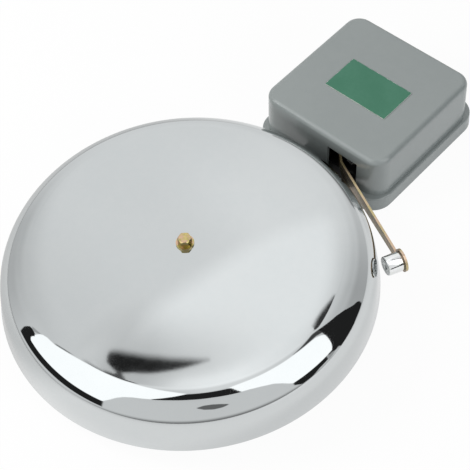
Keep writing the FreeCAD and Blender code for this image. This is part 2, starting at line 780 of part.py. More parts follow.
def make_frame():
    """The steel plate on the floor, with the folded bracket that holds the pivot pin's top."""
    body = new_body()
    edges = ("cover_shift - frame_left", "cover_shift + frame_right", f"{FRONT} + frame_front",
             f"{FRONT} + frame_front + frame_length", "frame_corner_radius")
    plate = sketch(body, "XY_Plane", FLOOR)
    rounded_rectangle(plate, *edges)
    for x, y in FRAME_SCREWS:
        circle(plate, x, y, "floor_screw_radius + thread_clearance")
    for x, y in BRACKET_SCREWS:
        circle(plate, x, y, "floor_screw_radius + thread_clearance")
    circle(plate, PIVOT_X, PIVOT_Y, "pin_radius + pin_seat_clearance")
    pad(body, plate, "frame_thickness")
    x = (f"{PIVOT_X} - bracket_width/2", f"{PIVOT_X} + bracket_width/2")
    back = f"{PIVOT_Y} + bracket_reach"
    wall = box(x, (f"{back} - frame_thickness", back), (FRAME_TOP, f"{PIN_TOP} - 1"))
    top = box(x, (f"{PIVOT_Y} - bracket_width/2", back),
              (f"{PIN_TOP} - 1 - frame_thickness", f"{PIN_TOP} - 1"))
    hole = rod("pin_radius + pin_seat_clearance", "frame_thickness + 2", PIVOT_X, PIVOT_Y,
               f"{PIN_TOP} - 2 - frame_thickness")
    piece("mechanism_frame", cut(join(body, wall, top), hole))
    screws = [floor_screw("floor_screw_length", x, y, FRAME_TOP) for x, y in FRAME_SCREWS]
    piece("frame_screws", group(screws))


YOKE_HOLES = [(x, f"{YOKE_BACK} + yoke_foot/2") for x in (CORE_LEFT, CORE_RIGHT)]
SPRING_X = "(cover_shift + spring_x)"
ANCHOR_FRONT = f"({FRONT} + anchor_y)"
ANCHOR_BACK = f"({ANCHOR_FRONT} + anchor_thickness)"
ANCHOR_HOLE = (SPRING_X, f"{ANCHOR_BACK} + anchor_foot*0.6")
BRACKET_SCREWS = YOKE_HOLES + [ANCHOR_HOLE]


def make_pivot():
    """The fixed pin that the armature carrier turns on, its clip and its two spacers."""
    body = turned_body([
        ("0", f"{FLOOR} + 0.2"), ("pin_radius", f"{FLOOR} + 0.2"), ("pin_radius", PIN_TOP), ("0", PIN_TOP)])
    piece("pivot_pin", place(body, PIVOT_X, PIVOT_Y, "0"))
    clip = tube("clip_radius", "pin_radius + pin_seat_clearance", "clip_thickness",
                PIVOT_X, PIVOT_Y, f"{PIN_TOP} - 0.9")
    mouth = box((f"{PIVOT_X} - 1.5", f"{PIVOT_X} + 1.5"), (f"{PIVOT_Y} - clip_radius - 1", PIVOT_Y),
                (f"{PIN_TOP} - 2", f"{PIN_TOP} + 1"))
    piece("pivot_clip", cut(clip, mouth))
    low = (FRAME_TOP, f"{CARRIER_LOW} - ear_gap")
    high = (f"{CARRIER_HIGH} + ear_gap", f"{PIN_TOP} - 1 - frame_thickness - 0.1")
    spacers = [tube("spacer_radius", "pin_radius + spacer_clearance", f"{end} - ({start})",
                    PIVOT_X, PIVOT_Y, start) for start, end in (low, high)]
    piece("pivot_spacers", group(spacers))


def make_yoke():
    """The L-shaped iron that joins the two cores behind the coils."""
    x = (f"{CORE_LEFT} - yoke_half_width", f"{CORE_RIGHT} + yoke_half_width")
    wall = box(x, (YOKE_FRONT, YOKE_BACK), (FRAME_TOP, f"{FLOOR} + yoke_height"))
    foot = box(x, (YOKE_FRONT, f"{YOKE_BACK} + yoke_foot"), (FRAME_TOP, f"{FRAME_TOP} + yoke_thickness"))
    holes = [rod("core_screw_radius + thread_clearance", "yoke_thickness + 2", core, f"{YOKE_FRONT} - 1",
                 MAGNET_Z, "y") for core in (CORE_LEFT, CORE_RIGHT)]
    holes += [rod("floor_screw_radius + thread_clearance", "yoke_thickness + 2", px, py, f"{FRAME_TOP} - 1")
              for px, py in YOKE_HOLES]
    piece("magnet_yoke", cut(join(wall, foot), *holes))


def make_magnet(side, core_x):
    """One core, with a pole piece at its front, its bobbin and its winding."""
    bore = "(core_screw_radius + thread_clearance)"
    hole_top = "core_length - core_screw_length + yoke_thickness - 1"
    core = turned_body([
        ("0", "0"), ("pole_radius", "0"), ("pole_radius", "pole_thickness"),
        ("core_radius", "pole_thickness"), ("core_radius", "core_length"), (bore, "core_length"),
        (bore, hole_top), ("0", hole_top)])
    piece(f"magnet_core_{side}", place(core, core_x, POLE_FACE, MAGNET_Z, "y"))
    inner = "(core_radius + bobbin_clearance)"
    drum = f"({inner} + bobbin_wall)"
    low, high = "(pole_thickness + bobbin_clearance)", "(core_length - bobbin_clearance)"
    bobbin = turned_body([
        (inner, low), ("bobbin_radius", low), ("bobbin_radius", f"{low} + bobbin_flange"),
        (drum, f"{low} + bobbin_flange"), (drum, f"{high} - bobbin_flange"),
        ("bobbin_radius", f"{high} - bobbin_flange"), ("bobbin_radius", high), (inner, high)])
    piece(f"coil_bobbin_{side}", place(bobbin, core_x, POLE_FACE, MAGNET_Z, "y"))
    winding = tube("winding_radius", drum, f"{high} - {low} - 2*bobbin_flange",
                   core_x, f"{POLE_FACE} + {low} + bobbin_flange", MAGNET_Z, "y")
    piece(f"coil_winding_{side}", winding)


def make_core_screws():
    screws = [screw("core_screw_radius", "core_screw_length", "core_screw_head_radius",
                    "core_screw_head_height", core_x, YOKE_BACK, MAGNET_Z, "-y")
              for core_x in (CORE_LEFT, CORE_RIGHT)]
    piece("core_screws", group(screws))


# ---------------------------------------------------------------- armature, striker and breaker


RIVETS = [(f"{PIVOT_X} - {along}", f"{MAGNET_Z} + armature_half_height - rivet_edge")
          for along in ("31.5", "22.5")]
ARM_RIVETS = [(f"{PIVOT_X} - {along}", f"{FLOOR} + (striker_top + striker_root_low)/2")
              for along in ("28", "21")]


def ear(low, high):
    """One of the carrier's two folded ears, which turn on the pivot pin."""
    sides = f"{PIVOT_X} - ear_half_width", f"{PIVOT_X} + ear_half_width"
    plate = box(sides, (PIVOT_Y, WEB_BACK), (low, high))
    nose = rod("ear_half_width", f"{high} - ({low})", PIVOT_X, PIVOT_Y, low)
    hole = rod("pin_radius + pin_running_clearance", f"{high} - ({low}) + 2", PIVOT_X, PIVOT_Y,
               f"{low} - 1")
    return cut(join(plate, nose), hole)


def make_carrier():
    """The folded steel carrier: a web with two ears on the pivot and a tail for the return spring."""
    web = box((f"{PIVOT_X} - web_left", f"{PIVOT_X} + web_right"), (WEB_FRONT, WEB_BACK),
              (CARRIER_LOW, CARRIER_HIGH))
    tail = box((f"{PIVOT_X} + web_right - 1", f"{PIVOT_X} + tail_right"), (WEB_FRONT, WEB_BACK),
               (f"{MAGNET_Z} - tail_half_height", f"{MAGNET_Z} + tail_half_height"))
    ears = [ear(CARRIER_LOW, f"{CARRIER_LOW} + carrier_thickness"),
            ear(f"{CARRIER_HIGH} - carrier_thickness", CARRIER_HIGH)]
    reach = "carrier_thickness + 2"
    holes = [rod("rivet_radius + rivet_clearance", reach, x, f"{WEB_FRONT} - 1", z, "y")
             for x, z in RIVETS + ARM_RIVETS]
    holes.append(rod("spring_wire_radius*2.5", reach, f"{SPRING_X} - spring_hook_radius",
                     f"{WEB_FRONT} - 1", MAGNET_Z, "y"))
    piece("armature_carrier", cut(join(web, tail, *ears), *holes))


def make_armature():
    """The soft-iron armature across both poles, riveted to the carrier's web."""
    plate = box((f"{PIVOT_X} - armature_left", f"{PIVOT_X} - armature_right"), (WEB_BACK, ARMATURE_BACK),
                (f"{MAGNET_Z} - armature_half_height", f"{MAGNET_Z} + armature_half_height"))
    holes = [rod("rivet_radius + rivet_clearance", "armature_thickness + 2", x, f"{WEB_BACK} - 1", z, "y")
             for x, z in RIVETS + [CONTACT_RIVET]]
    piece("armature_plate", cut(plate, *holes))
    rivets = []
    for x, z in RIVETS:
        head = rod("rivet_head_radius", "rivet_head_height", x, WEB_FRONT, z, "-y")
        shank = rod("rivet_radius", f"{ARMATURE_BACK} - {WEB_FRONT} - 0.2", x, WEB_FRONT, z, "y")
        rivets.append(join(head, shank))
    piece("armature_rivets", group(rivets))


CONTACT_X = f"({PIVOT_X} - contact_x)"
CONTACT_RIVET = (f"{PIVOT_X} - web_left - 5", MAGNET_Z)
SPRING_FRONT = f"({WEB_BACK} - contact_spring_lift - contact_spring_thickness)"


def make_contact_spring():
    """The leaf on the armature that carries the moving contact, cranked away from the armature."""
    root = f"{PIVOT_X} - web_left - 1"
    knee = f"{PIVOT_X} - web_left - contact_spring_root/2 - 1"
    lifted = f"{knee} - contact_spring_ramp"
    tip = f"{CONTACT_X} - contact_spring_tip"
    near, far = WEB_BACK, f"{WEB_BACK} - contact_spring_lift"
    body = new_body()
    gauge = "contact_spring_thickness"
    corners = [(root, f"{near} - {gauge}"), (root, near), (knee, near), (lifted, far), (tip, far),
               (tip, f"{far} - {gauge}"), (lifted, f"{far} - {gauge}"), (knee, f"{near} - {gauge}")]
    pad(body, outline(sketch(body, "XY_Plane", f"{MAGNET_Z} - contact_spring_half_height"), corners),
        "2*contact_spring_half_height")
    x, z = CONTACT_RIVET
    hole = rod("rivet_radius + rivet_clearance", "4", x, f"{WEB_BACK} - 2", z, "y")
    seat = rod("contact_tip_radius + rivet_clearance", "4", CONTACT_X, f"{SPRING_FRONT} - 1", MAGNET_Z, "y")
    piece("contact_spring", cut(body, hole, seat))
    head = rod("rivet_head_radius", "rivet_head_height", x, f"{WEB_BACK} - contact_spring_thickness", z, "-y")
    shank = rod("rivet_radius", "contact_spring_thickness + armature_thickness - 0.2", x,
                f"{WEB_BACK} - contact_spring_thickness", z, "y")
    piece("contact_spring_rivet", join(head, shank))
    seat = (CONTACT_X, SPRING_FRONT, MAGNET_Z)
    button = rod("contact_rivet_radius", "contact_rivet_height", *seat, "-y")
    stem = rod("contact_tip_radius", "contact_spring_thickness + 0.4", *seat, "y")
    piece("moving_contact", join(button, stem))


POST_FRONT = f"({FRONT} + contact_post_front)"
POST_LOW = f"({FRAME_TOP} + insulator_thickness)"
POST_SCREWS = [(f"{CONTACT_X} + contact_post_width/2 + {along}", f"{POST_FRONT} + contact_foot_depth/2")
               for along in ("4.5", "15")]


def make_contact_post():
    """The brass post on its fibre insulator, with the adjustable contact screw and its lock nut."""
    left, right = f"{CONTACT_X} - contact_post_width/2", f"{CONTACT_X} + contact_post_width/2"
    foot_end = f"{left} + contact_foot_length + contact_post_width/2"
    post = box((left, right), (POST_FRONT, f"{POST_FRONT} + contact_post_depth"),
               (POST_LOW, f"{POST_LOW} + contact_post_height"))
    foot = box((left, foot_end), (POST_FRONT, f"{POST_FRONT} + contact_foot_depth"),
               (POST_LOW, f"{POST_LOW} + contact_foot_thickness"))
    holes = [rod("small_screw_radius + thread_clearance", "contact_foot_thickness + 2", x, y,
                 f"{POST_LOW} - 1") for x, y in POST_SCREWS]
    holes.append(rod("contact_screw_radius + thread_clearance", "contact_post_depth + 2", CONTACT_X,
                     f"{POST_FRONT} - 1", MAGNET_Z, "y"))
    piece("contact_post", cut(join(post, foot), *holes))
    sheet_of_fibre = box((f"{left} - insulator_margin", f"{foot_end} + insulator_margin"),
                         (f"{POST_FRONT} - insulator_margin",
                          f"{POST_FRONT} + contact_foot_depth + insulator_margin"),
                         (FRAME_TOP, POST_LOW))
    holes = [rod("small_screw_radius + thread_clearance", "insulator_thickness + 2", x, y, f"{FRAME_TOP} - 1")
             for x, y in POST_SCREWS]
    piece("contact_insulator", cut(sheet_of_fibre, *holes))
    screws = [screw("small_screw_radius", "contact_foot_thickness + insulator_thickness - 0.05",
                    "small_screw_head_radius", "small_screw_head_height", x, y,
                    f"{POST_LOW} + contact_foot_thickness", "-z") for x, y in POST_SCREWS]
    piece("contact_post_screws", group(screws))


def make_contact_screw():
    tip_end = f"({SPRING_FRONT} - contact_rivet_height - contact_gap)"
    shank_end = f"({tip_end} - contact_tip_length)"
    knob = f"({FRONT} + contact_knob_front)"
    shank = rod("contact_screw_radius", f"{shank_end} - {knob}", CONTACT_X, knob, MAGNET_Z, "y")
    tip = rod("contact_tip_radius", "contact_tip_length", CONTACT_X, shank_end, MAGNET_Z, "y")
    head = rod("contact_knob_radius", "contact_knob_height", CONTACT_X, knob, MAGNET_Z, "y")
    piece("contact_screw", join(shank, tip, head))
    nut = hex_prism("lock_nut_across_flats", "lock_nut_height", CONTACT_X,
                    f"{POST_FRONT} - lock_nut_height", MAGNET_Z, "y")
    hole = rod("contact_screw_radius + thread_clearance", "lock_nut_height + 2", CONTACT_X,
               f"{POST_FRONT} - lock_nut_height - 1", MAGNET_Z, "y")
    piece("contact_lock_nut", cut(nut, hole))


# The striker's straight run starts at its bend near the window and ends at the lug. The hammer's
# face lies strike_gap outside the gong's rim, and its axis is square to the run.
STRIKE = "(gong_radius + strike_gap)"
START_X, START_Y = "(cover_shift + striker_x)", f"({FRONT} - striker_y)"
SPAN_X = f"({STRIKE}*cos(strike_angle) - {START_X})"
SPAN_Y = f"({STRIKE}*sin(strike_angle) - {START_Y})"
LUG_REACH = f"sqrt({SPAN_X}^2 + {SPAN_Y}^2 - hammer_length^2)"
ARM_TURN = f"(atan2({SPAN_Y}; {SPAN_X})/1 deg + atan2(hammer_length; {LUG_REACH})/1 deg)"
LUG_Z = f"({FLOOR} + strike_height)"
ROOT_TURN = "45"
ROOT_FACE = f"({WEB_FRONT} - striker_thickness/2)"
BEND_X = f"({START_X} - striker_bend*cos({ARM_TURN}) - striker_thickness/2*sin({ARM_TURN}))"
BEND_Y = f"({START_Y} - striker_bend*sin({ARM_TURN}) + striker_thickness/2*cos({ARM_TURN}))"
ROOT_BEND_X = f"({BEND_X} - ({ROOT_FACE} - {BEND_Y})/tan({ROOT_TURN}))"


def along_arm(distance, aside="0"):
    """A point on the straight run's gong-facing face, in plan, or off it towards the gong."""
    return (f"{START_X} + ({distance})*cos({ARM_TURN}) + ({aside})*sin({ARM_TURN})",
            f"{START_Y} + ({distance})*sin({ARM_TURN}) - ({aside})*cos({ARM_TURN})")


def mitre(x, y, before, after, side):
    """The corner of a strip that bends from one direction to another, on one side of its middle."""
    half = f"striker_thickness/2/cos((({after}) - ({before}))/2)"
    lean = f"((({before}) + ({after}))/2)"
    return (f"{x} - ({side}*{half})*sin({lean})", f"{y} + ({side}*{half})*cos({lean})")


def make_striker_arm():
    """A strip on edge: a root on the carrier's web, a slanting run to the window, and a straight
    run, stepped in past the box and ending in a round lug that carries the hammer."""
    root_start = f"{PIVOT_X} - 18 - striker_root_length"
    far = along_arm(f"{LUG_REACH} + lug_radius + 2")
    far_back = along_arm(f"{LUG_REACH} + lug_radius + 2", "0 - striker_thickness")
    plan = new_body()
    corners = [(root_start, f"{ROOT_FACE} - striker_thickness/2"),
               mitre(ROOT_BEND_X, ROOT_FACE, "0", f"0 - {ROOT_TURN}", "-1"),
               mitre(BEND_X, BEND_Y, f"0 - {ROOT_TURN}", ARM_TURN, "-1"), far, far_back,
               mitre(BEND_X, BEND_Y, f"0 - {ROOT_TURN}", ARM_TURN, "1"),
               mitre(ROOT_BEND_X, ROOT_FACE, "0", f"0 - {ROOT_TURN}", "1"),
               (root_start, f"{ROOT_FACE} + striker_thickness/2")]
    pad(plan, outline(sketch(plan, "XY_Plane", FLOOR), corners), "cover_height")
    bends = [(value(x), value(y)) for x, y in (corners[1], corners[2], corners[5], corners[6])]
    inner, outer = (bends[0], bends[2]), (bends[1], bends[3])

    def at(points):
        return lambda edge: upright(edge) and any(
            abs(edge.BoundBox.XMin - x) < 0.01 and abs(edge.BoundBox.YMin - y) < 0.01 for x, y in points)

    fillet(plan, "striker_bend_radius", at(inner))
    fillet(plan, "striker_bend_radius + striker_thickness", at(outer))
    side = new_body()
    top = f"{FLOOR} + striker_top"
    lug_low = f"{LUG_Z} - lug_radius + 0.3"
    face = [("0 - 60", f"{FLOOR} + striker_root_low"), ("0 - striker_bend", f"{FLOOR} + striker_root_low"),
            ("striker_neck", f"{FLOOR} + striker_neck_low"), ("striker_knee", f"{FLOOR} + striker_knee_low"),
            ("striker_waist", f"{FLOOR} + striker_waist_low"),
            (f"{LUG_REACH} - striker_tip", f"{FLOOR} + striker_tip_low"), (LUG_REACH, lug_low),
            (LUG_REACH, top), ("0 - 60", top)]
    depth = "60"
    pad(side, outline(sketch(side, "XZ_Plane", f"0 - {depth}"), face), f"2*{depth}")
    pad(side, circle(sketch(side, "XZ_Plane", f"0 - {depth}"), LUG_REACH, LUG_Z, "lug_radius"), f"2*{depth}")
    place(side, START_X, START_Y, "0", turned=ARM_TURN)
    strip = new("Part::Common")
    strip.Base, strip.Tool = plan, side
    holes = [rod("rivet_radius + rivet_clearance", "striker_thickness + 2", x, f"{ROOT_FACE} - 2", z, "y")
             for x, z in ARM_RIVETS]
    lug_hole = hammer_part([("0", "0 - 4"), ("hammer_rivet_radius + rivet_clearance", "0 - 4"),
                            ("hammer_rivet_radius + rivet_clearance", "4"), ("0", "4")])
    piece("striker_arm", cut(strip, *holes, lug_hole))
    rivets = []
    for x, z in ARM_RIVETS:
        seat = f"{ROOT_FACE} - striker_thickness/2"
        shank = rod("rivet_radius", "striker_thickness + carrier_thickness - 0.2", x, seat, z, "y")
        rivets.append(join(rod("rivet_head_radius", "rivet_head_height", x, seat, z, "-y"), shank))
    piece("arm_rivets", group(rivets))


def hammer_part(corners):
    """A round piece on the hammer's axis: corners are (radius, distance from the lug to the gong)."""
    body = new_body()
    spin(body, outline(sketch(body, "XY_Plane"), [(x, f"0 - ({y})") for x, y in corners]))
    x, y = along_arm(LUG_REACH)
    return place(body, x, y, LUG_Z, turned=ARM_TURN)


def make_hammer():
    bore = "hammer_rivet_radius + rivet_clearance"
    spot = "hammer_length - hammer_spot_depth"
    piece("striker_hammer", hammer_part([
        (bore, "0"), ("hammer_radius", "0"), ("hammer_radius", "hammer_length - hammer_chamfer"),
        ("hammer_radius - hammer_chamfer", "hammer_length"), ("hammer_spot_radius", "hammer_length"),
        ("0", spot), ("0", "hammer_rivet_depth"), (bore, "hammer_rivet_depth")]))
    back = "0 - striker_thickness"
    piece("hammer_rivet", hammer_part([
        ("0", f"{back} - hammer_rivet_head_height"),
        ("hammer_rivet_head_radius - 0.6", f"{back} - hammer_rivet_head_height"),
        ("hammer_rivet_head_radius", f"{back} - 0.4"), ("hammer_rivet_head_radius", back),
        ("hammer_rivet_radius", back), ("hammer_rivet_radius", "hammer_rivet_depth - 0.3"),
        ("0", "hammer_rivet_depth - 0.3")]))


# ---------------------------------------------------------------- return spring


SPRING_START = f"(({WEB_FRONT} + {WEB_BACK})/2 + spring_lead)"
SPRING_END = f"({SPRING_START} + spring_pitch*spring_turns)"


def sweep(edges, start, direction, frenet=False):
    """A round wire of the spring's gauge along a smooth path."""
    section = Part.Wire(Part.Circle(start, direction, value("spring_wire_radius")).toShape())
    return Part.Wire(edges).makePipeShell([section], True, frenet)


def spring_hook(corner, heading, axial, lead):
    """From the end of the coil: a bend to the axial direction, a straight, and a ring."""
    coil, hook, pitch = (value(text) for text in ("spring_coil_radius", "spring_hook_radius", "spring_pitch"))
    climb = asin(pitch / (2 * pi * coil) / (1 + (pitch / (2 * pi * coil)) ** 2) ** 0.5)
    bend = (hook ** 2 - coil ** 2) ** 0.5 / (1 - sin(climb))
    level = (heading - axial * heading.dot(axial)).normalize()
    lift = axial * (bend * cos(climb))
    side = level * (bend * (1 - sin(climb)))
    bend_end = corner + lift + side
    centre = corner + lift - level * (bend * sin(climb))
    bulge = centre + ((corner - centre) + (bend_end - centre)).normalize() * bend
    ring_start = bend_end + axial * (lead - bend * cos(climb))
    out = Vector(ring_start.x, ring_start.y, 0).normalize()
    middle = ring_start - out * hook
    turn = [middle + (out * cos(angle) + axial * sin(angle)) * hook for angle in (radians(165), radians(330))]
    edges = [Part.Arc(corner, bulge, bend_end).toShape(), Part.LineSegment(bend_end, ring_start).toShape(),
             Part.Arc(ring_start, *turn).toShape()]
    return sweep(edges, corner, heading), out


def make_return_spring():
    """A tension spring with a ring at each end, from the carrier's tail to the eye screw."""
    coil, pitch, lead = (value(text) for text in ("spring_coil_radius", "spring_pitch", "spring_lead"))
    rise = pitch / (2 * pi)
    hook = value("spring_hook_radius")
    lean = asin((hook ** 2 - coil ** 2) ** 0.5 / hook)
    length = pitch * (value("spring_turns") - lean / pi)
    spiral = Part.makeHelix(pitch, length, coil)
    start, finish = Vector(coil, 0, 0), Vector(coil * cos(-2 * lean), coil * sin(-2 * lean), length)
    forward = Vector(0, coil, rise).normalize()
    onward = Vector(-sin(-2 * lean) * coil, cos(-2 * lean) * coil, rise).normalize()
    winding = sweep(spiral.Edges, start, forward, True)
    near, out = spring_hook(start, forward * -1, Vector(0, 0, -1), lead)
    far, out = spring_hook(finish, onward, Vector(0, 0, 1), lead)
    item = new("Part::Feature")
    item.Shape = winding.multiFuse([near, far])
    turn = Rotation(Vector(0, 0, 1), degrees(lean))
    corner = Vector(*(value(at) for at in (SPRING_X, SPRING_START, MAGNET_Z)))
    item.Placement = Placement(corner, TURNS["y"] * turn)
    piece("return_spring", item)


def make_spring_anchor():
    """The eye screw that holds the spring, its bracket on the frame plate and its nut."""
    eye_y = f"({SPRING_END} + spring_lead + spring_hook_radius + eye_radius - 1.2)"
    eye = bind(new("Part::Torus"), Radius1="eye_radius", Radius2="eye_wire_radius")
    place(eye, SPRING_X, eye_y, MAGNET_Z, "x")
    shank = rod("eye_shank_radius", "eye_shank_length", SPRING_X, f"{eye_y} + eye_radius", MAGNET_Z, "y")
    piece("spring_eye_screw", join(eye, shank))
    x = (f"{SPRING_X} - anchor_half_width", f"{SPRING_X} + anchor_half_width")
    wall = box(x, (ANCHOR_FRONT, ANCHOR_BACK), (FRAME_TOP, f"{FLOOR} + anchor_height"))
    foot = box(x, (ANCHOR_FRONT, f"{ANCHOR_BACK} + anchor_foot"),
               (FRAME_TOP, f"{FRAME_TOP} + anchor_thickness"))
    shank_hole = rod("eye_shank_radius + thread_clearance", "anchor_thickness + 2", SPRING_X,
                     f"{ANCHOR_FRONT} - 1", MAGNET_Z, "y")
    foot_hole = rod("floor_screw_radius + thread_clearance", "anchor_thickness + 2", *ANCHOR_HOLE,
                    f"{FRAME_TOP} - 1")
    piece("spring_anchor", cut(join(wall, foot), shank_hole, foot_hole))
    seat = (SPRING_X, ANCHOR_BACK, MAGNET_Z, "y")
    nut = hex_prism("adjuster_across_flats", "adjuster_nut_height", *seat)
    nut_hole = rod("eye_shank_radius + thread_clearance", "adjuster_nut_height + 2", SPRING_X,
                   f"{ANCHOR_BACK} - 1", MAGNET_Z, "y")
    piece("spring_adjuster_nut", cut(nut, nut_hole))
    seats = [(px, py, "yoke_thickness") for px, py in YOKE_HOLES] + [(*ANCHOR_HOLE, "anchor_thickness")]
    screws = [floor_screw(f"{through} + bracket_screw_grip", px, py, f"{FRAME_TOP} + {through}")
              for px, py, through in seats]
    piece("bracket_screws", group(screws))


# ---------------------------------------------------------------- terminals and leads


WAYS = [f"({TERMINAL[0]} {sign} terminal_pitch/2)" for sign in "-+"]
INSERT_LOW = f"({FLOOR} + terminal_wall)"
PORT_Z = f"({INSERT_LOW} + terminal_port_height)"


def make_terminals():
    """A moulded two-way terminal block on the floor, its brass inserts, screws and earth screw."""
    x, y = TERMINAL
    low, high = f"{y} - terminal_depth/2", f"{y} + terminal_depth/2"
    block = box((f"{x} - terminal_width/2", f"{x} + terminal_width/2"), (low, high),
                (FLOOR, f"{FLOOR} + terminal_height"))
    insert_high = f"({INSERT_LOW} + terminal_insert_height)"
    tools, inserts, screws = [], [], []
    for way in WAYS:
        half = "terminal_insert_width/2"
        tools.append(box((f"{way} - {half} - 0.2", f"{way} + {half} + 0.2"),
                         (f"{low} + terminal_wall", f"{high} - terminal_wall"),
                         (INSERT_LOW, f"{FLOOR} + terminal_height + 1")))
        tools.append(rod("terminal_port_radius", "terminal_depth + 2", way, f"{low} - 1", PORT_Z, "y"))
        insert = box((f"{way} - {half}", f"{way} + {half}"),
                     (f"{low} + terminal_wall + 0.2", f"{high} - terminal_wall - 0.2"),
                     (INSERT_LOW, insert_high))
        port = rod("terminal_port_radius - 0.3", "terminal_depth", way, low, PORT_Z, "y")
        tap = rod("small_screw_radius + thread_clearance", "terminal_insert_height", way, y, PORT_Z)
        inserts.append(cut(insert, port, tap))
        screws.append(screw("small_screw_radius", "terminal_screw_length", "small_screw_head_radius",
                            "terminal_screw_head_height", way, y, f"{insert_high} + 0.5", "-z"))
    fixing_seat = f"({FLOOR} + terminal_step)"
    tools.append(rod("floor_screw_head_radius + 0.4", "terminal_height", x, y, fixing_seat))
    tools.append(rod("floor_screw_radius + thread_clearance", "terminal_height + 2", x, y, f"{FLOOR} - 1"))
    piece("terminal_block", cut(block, *tools))
    piece("terminal_inserts", group(inserts))
    piece("terminal_screws", group(screws))
    piece("terminal_fixing_screw", floor_screw("terminal_step + terminal_screw_grip", x, y, fixing_seat))
    hole = "floor_screw_radius + washer_clearance"
    piece("earth_washer", tube("earth_washer_radius", hole, "earth_washer_thickness", *EARTH, FLOOR))
    piece("earth_screw", floor_screw("floor_screw_length", *EARTH, f"{FLOOR} + earth_washer_thickness"))


def lead_path(points):
    """Straight runs joined by tangent arcs, each as large as its two runs allow."""
    edges, radii, last = [], [], points[0]
    for before, corner, after in zip(points, points[1:], points[2:]):
        one, two = before - corner, after - corner
        turn = pi - one.getAngle(two)
        setback = 0.45 * min(one.Length, two.Length)
        start, end = corner + one.normalize() * setback, corner + two.normalize() * setback
        radius = setback / tan(turn / 2)
        radii.append(radius)
        bulge = radius * (1 / cos(turn / 2) - 1)
        inward = (start + end) * 0.5 - corner
        edges.append(Part.LineSegment(last, start).toShape())
        edges.append(Part.Arc(start, corner + inward.normalize() * bulge, end).toShape())
        last = end
    edges.append(Part.LineSegment(last, points[-1]).toShape())
    return Part.Wire(edges), radii


def make_lead(label, route, way=None, last=()):
    """One insulated wire inside the box: points from the cover's front, then from a terminal's port."""
    corner = Vector(value("cover_shift"), value(FRONT), value(FLOOR))
    points = [corner + Vector(*point) for point in route]
    if way is not None:
        port = Vector(value(WAYS[way]), value(f"{TERMINAL[1]} - terminal_depth/2"), value(PORT_Z))
        points += [port + Vector(*point) for point in last]
    path, radii = lead_path(points)
    gauge = value("lead_radius")
    section = Part.Wire(Part.Circle(points[0], points[1] - points[0], gauge).toShape())
    item = new("Part::Feature")
    item.Shape = path.makePipeShell([section], True, False)
    expected = pi * gauge ** 2 * path.Length
    print(f"{label}: length {path.Length:.1f}, smallest radius {min(radii):.1f}, "
          f"volume {item.Shape.Volume / expected:.4f} of the expected")
    piece(label, item)


def make_leads():
    make_lead("supply_lead", [(-8.5, 40, 27.9), (-8.3, 54, 29.6), (-4.5, 69, 29)], 0,
              [(0, -9.5, 6.3), (0, -2.5, 0), (0, 7.5, 0)])
    make_lead("coil_link", [(-37.5, 33.5, 27.9), (-23, 36, 27.75), (-8.5, 33.5, 27.9)])
    make_lead("frame_lead", [(-37.5, 40, 27.9), (-37.9, 54, 29.6), (-40.9, 68.9, 29.6), (-40.9, 69.3, 6.1)])
    make_lead("contact_lead",
              [(-13.1, 12.5, 5.9), (-4, 15, 4.4), (4, 26, 2.8), (8, 44, 2.8), (15, 64, 2.8)], 1,
              [(0, -7, -0.9), (0, 7.5, 0)])


def main():
    make_base()
    make_grommet()
    make_gong_post()
    make_gong()
    make_gong_bolt()
    make_cover()
    make_frame()
    make_pivot()
    make_yoke()
    for side, core_x in (("left", CORE_LEFT), ("right", CORE_RIGHT)):
        make_magnet(side, core_x)
    make_core_screws()
    make_carrier()
    make_armature()
    make_contact_spring()
    make_contact_post()
    make_contact_screw()
    make_striker_arm()
    make_hammer()
    make_return_spring()
    make_spring_anchor()
    make_terminals()
    make_leads()
    doc.recompute()
    for item in doc.Objects:
        if "Invalid" in item.State or "Error" in item.State:
            raise RuntimeError(f"{item.Name} ({item.Label}) failed: {item.State}")
    os.makedirs("parts", exist_ok=True)
    for item in PIECES:
        if item.Shape.isNull() or not item.Shape.isValid():
            raise RuntimeError(f"{item.Label} has no valid shape")
        item.Shape.exportStep(f"parts/{item.Label}.step")
        print(f"{item.Label}: {len(item.Shape.Solids)} solid(s), {item.Shape.Volume / 1000:.2f} cm3")


main()
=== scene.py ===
"""Electric wall bell: finishes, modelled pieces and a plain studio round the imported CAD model."""

import json
from math import asin, atan2, cos, degrees, pi, radians, sin, sqrt, tan

import bpy
from mathutils import Matrix, Vector


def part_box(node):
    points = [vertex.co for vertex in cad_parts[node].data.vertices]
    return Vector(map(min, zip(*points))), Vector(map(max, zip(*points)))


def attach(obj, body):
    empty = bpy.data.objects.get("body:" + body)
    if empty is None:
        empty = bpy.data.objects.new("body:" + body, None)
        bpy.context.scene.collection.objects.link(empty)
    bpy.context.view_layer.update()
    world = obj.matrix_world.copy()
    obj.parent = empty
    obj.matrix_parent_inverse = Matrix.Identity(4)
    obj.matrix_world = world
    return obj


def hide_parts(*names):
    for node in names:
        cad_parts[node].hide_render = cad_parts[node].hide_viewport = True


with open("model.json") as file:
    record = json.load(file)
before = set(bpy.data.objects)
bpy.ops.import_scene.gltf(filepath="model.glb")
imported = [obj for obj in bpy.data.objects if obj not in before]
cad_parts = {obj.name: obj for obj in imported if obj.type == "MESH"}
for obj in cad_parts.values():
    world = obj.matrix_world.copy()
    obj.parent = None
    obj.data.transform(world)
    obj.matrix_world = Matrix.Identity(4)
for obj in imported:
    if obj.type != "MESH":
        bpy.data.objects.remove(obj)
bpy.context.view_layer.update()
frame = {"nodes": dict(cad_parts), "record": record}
nodes = frame["nodes"]

MM = 0.001

# How the striker's straight run lies, and the way its hammer faces
STRIKER_TURN = radians(-25.326)
ACROSS_ARM = Vector((sin(STRIKER_TURN), -cos(STRIKER_TURN), 0.0))
HAMMER_BACK = Vector((101.688, 92.825, 27.5)) * MM
HAMMER_RADIUS, HAMMER_LENGTH = 6.6 * MM, 11.3 * MM

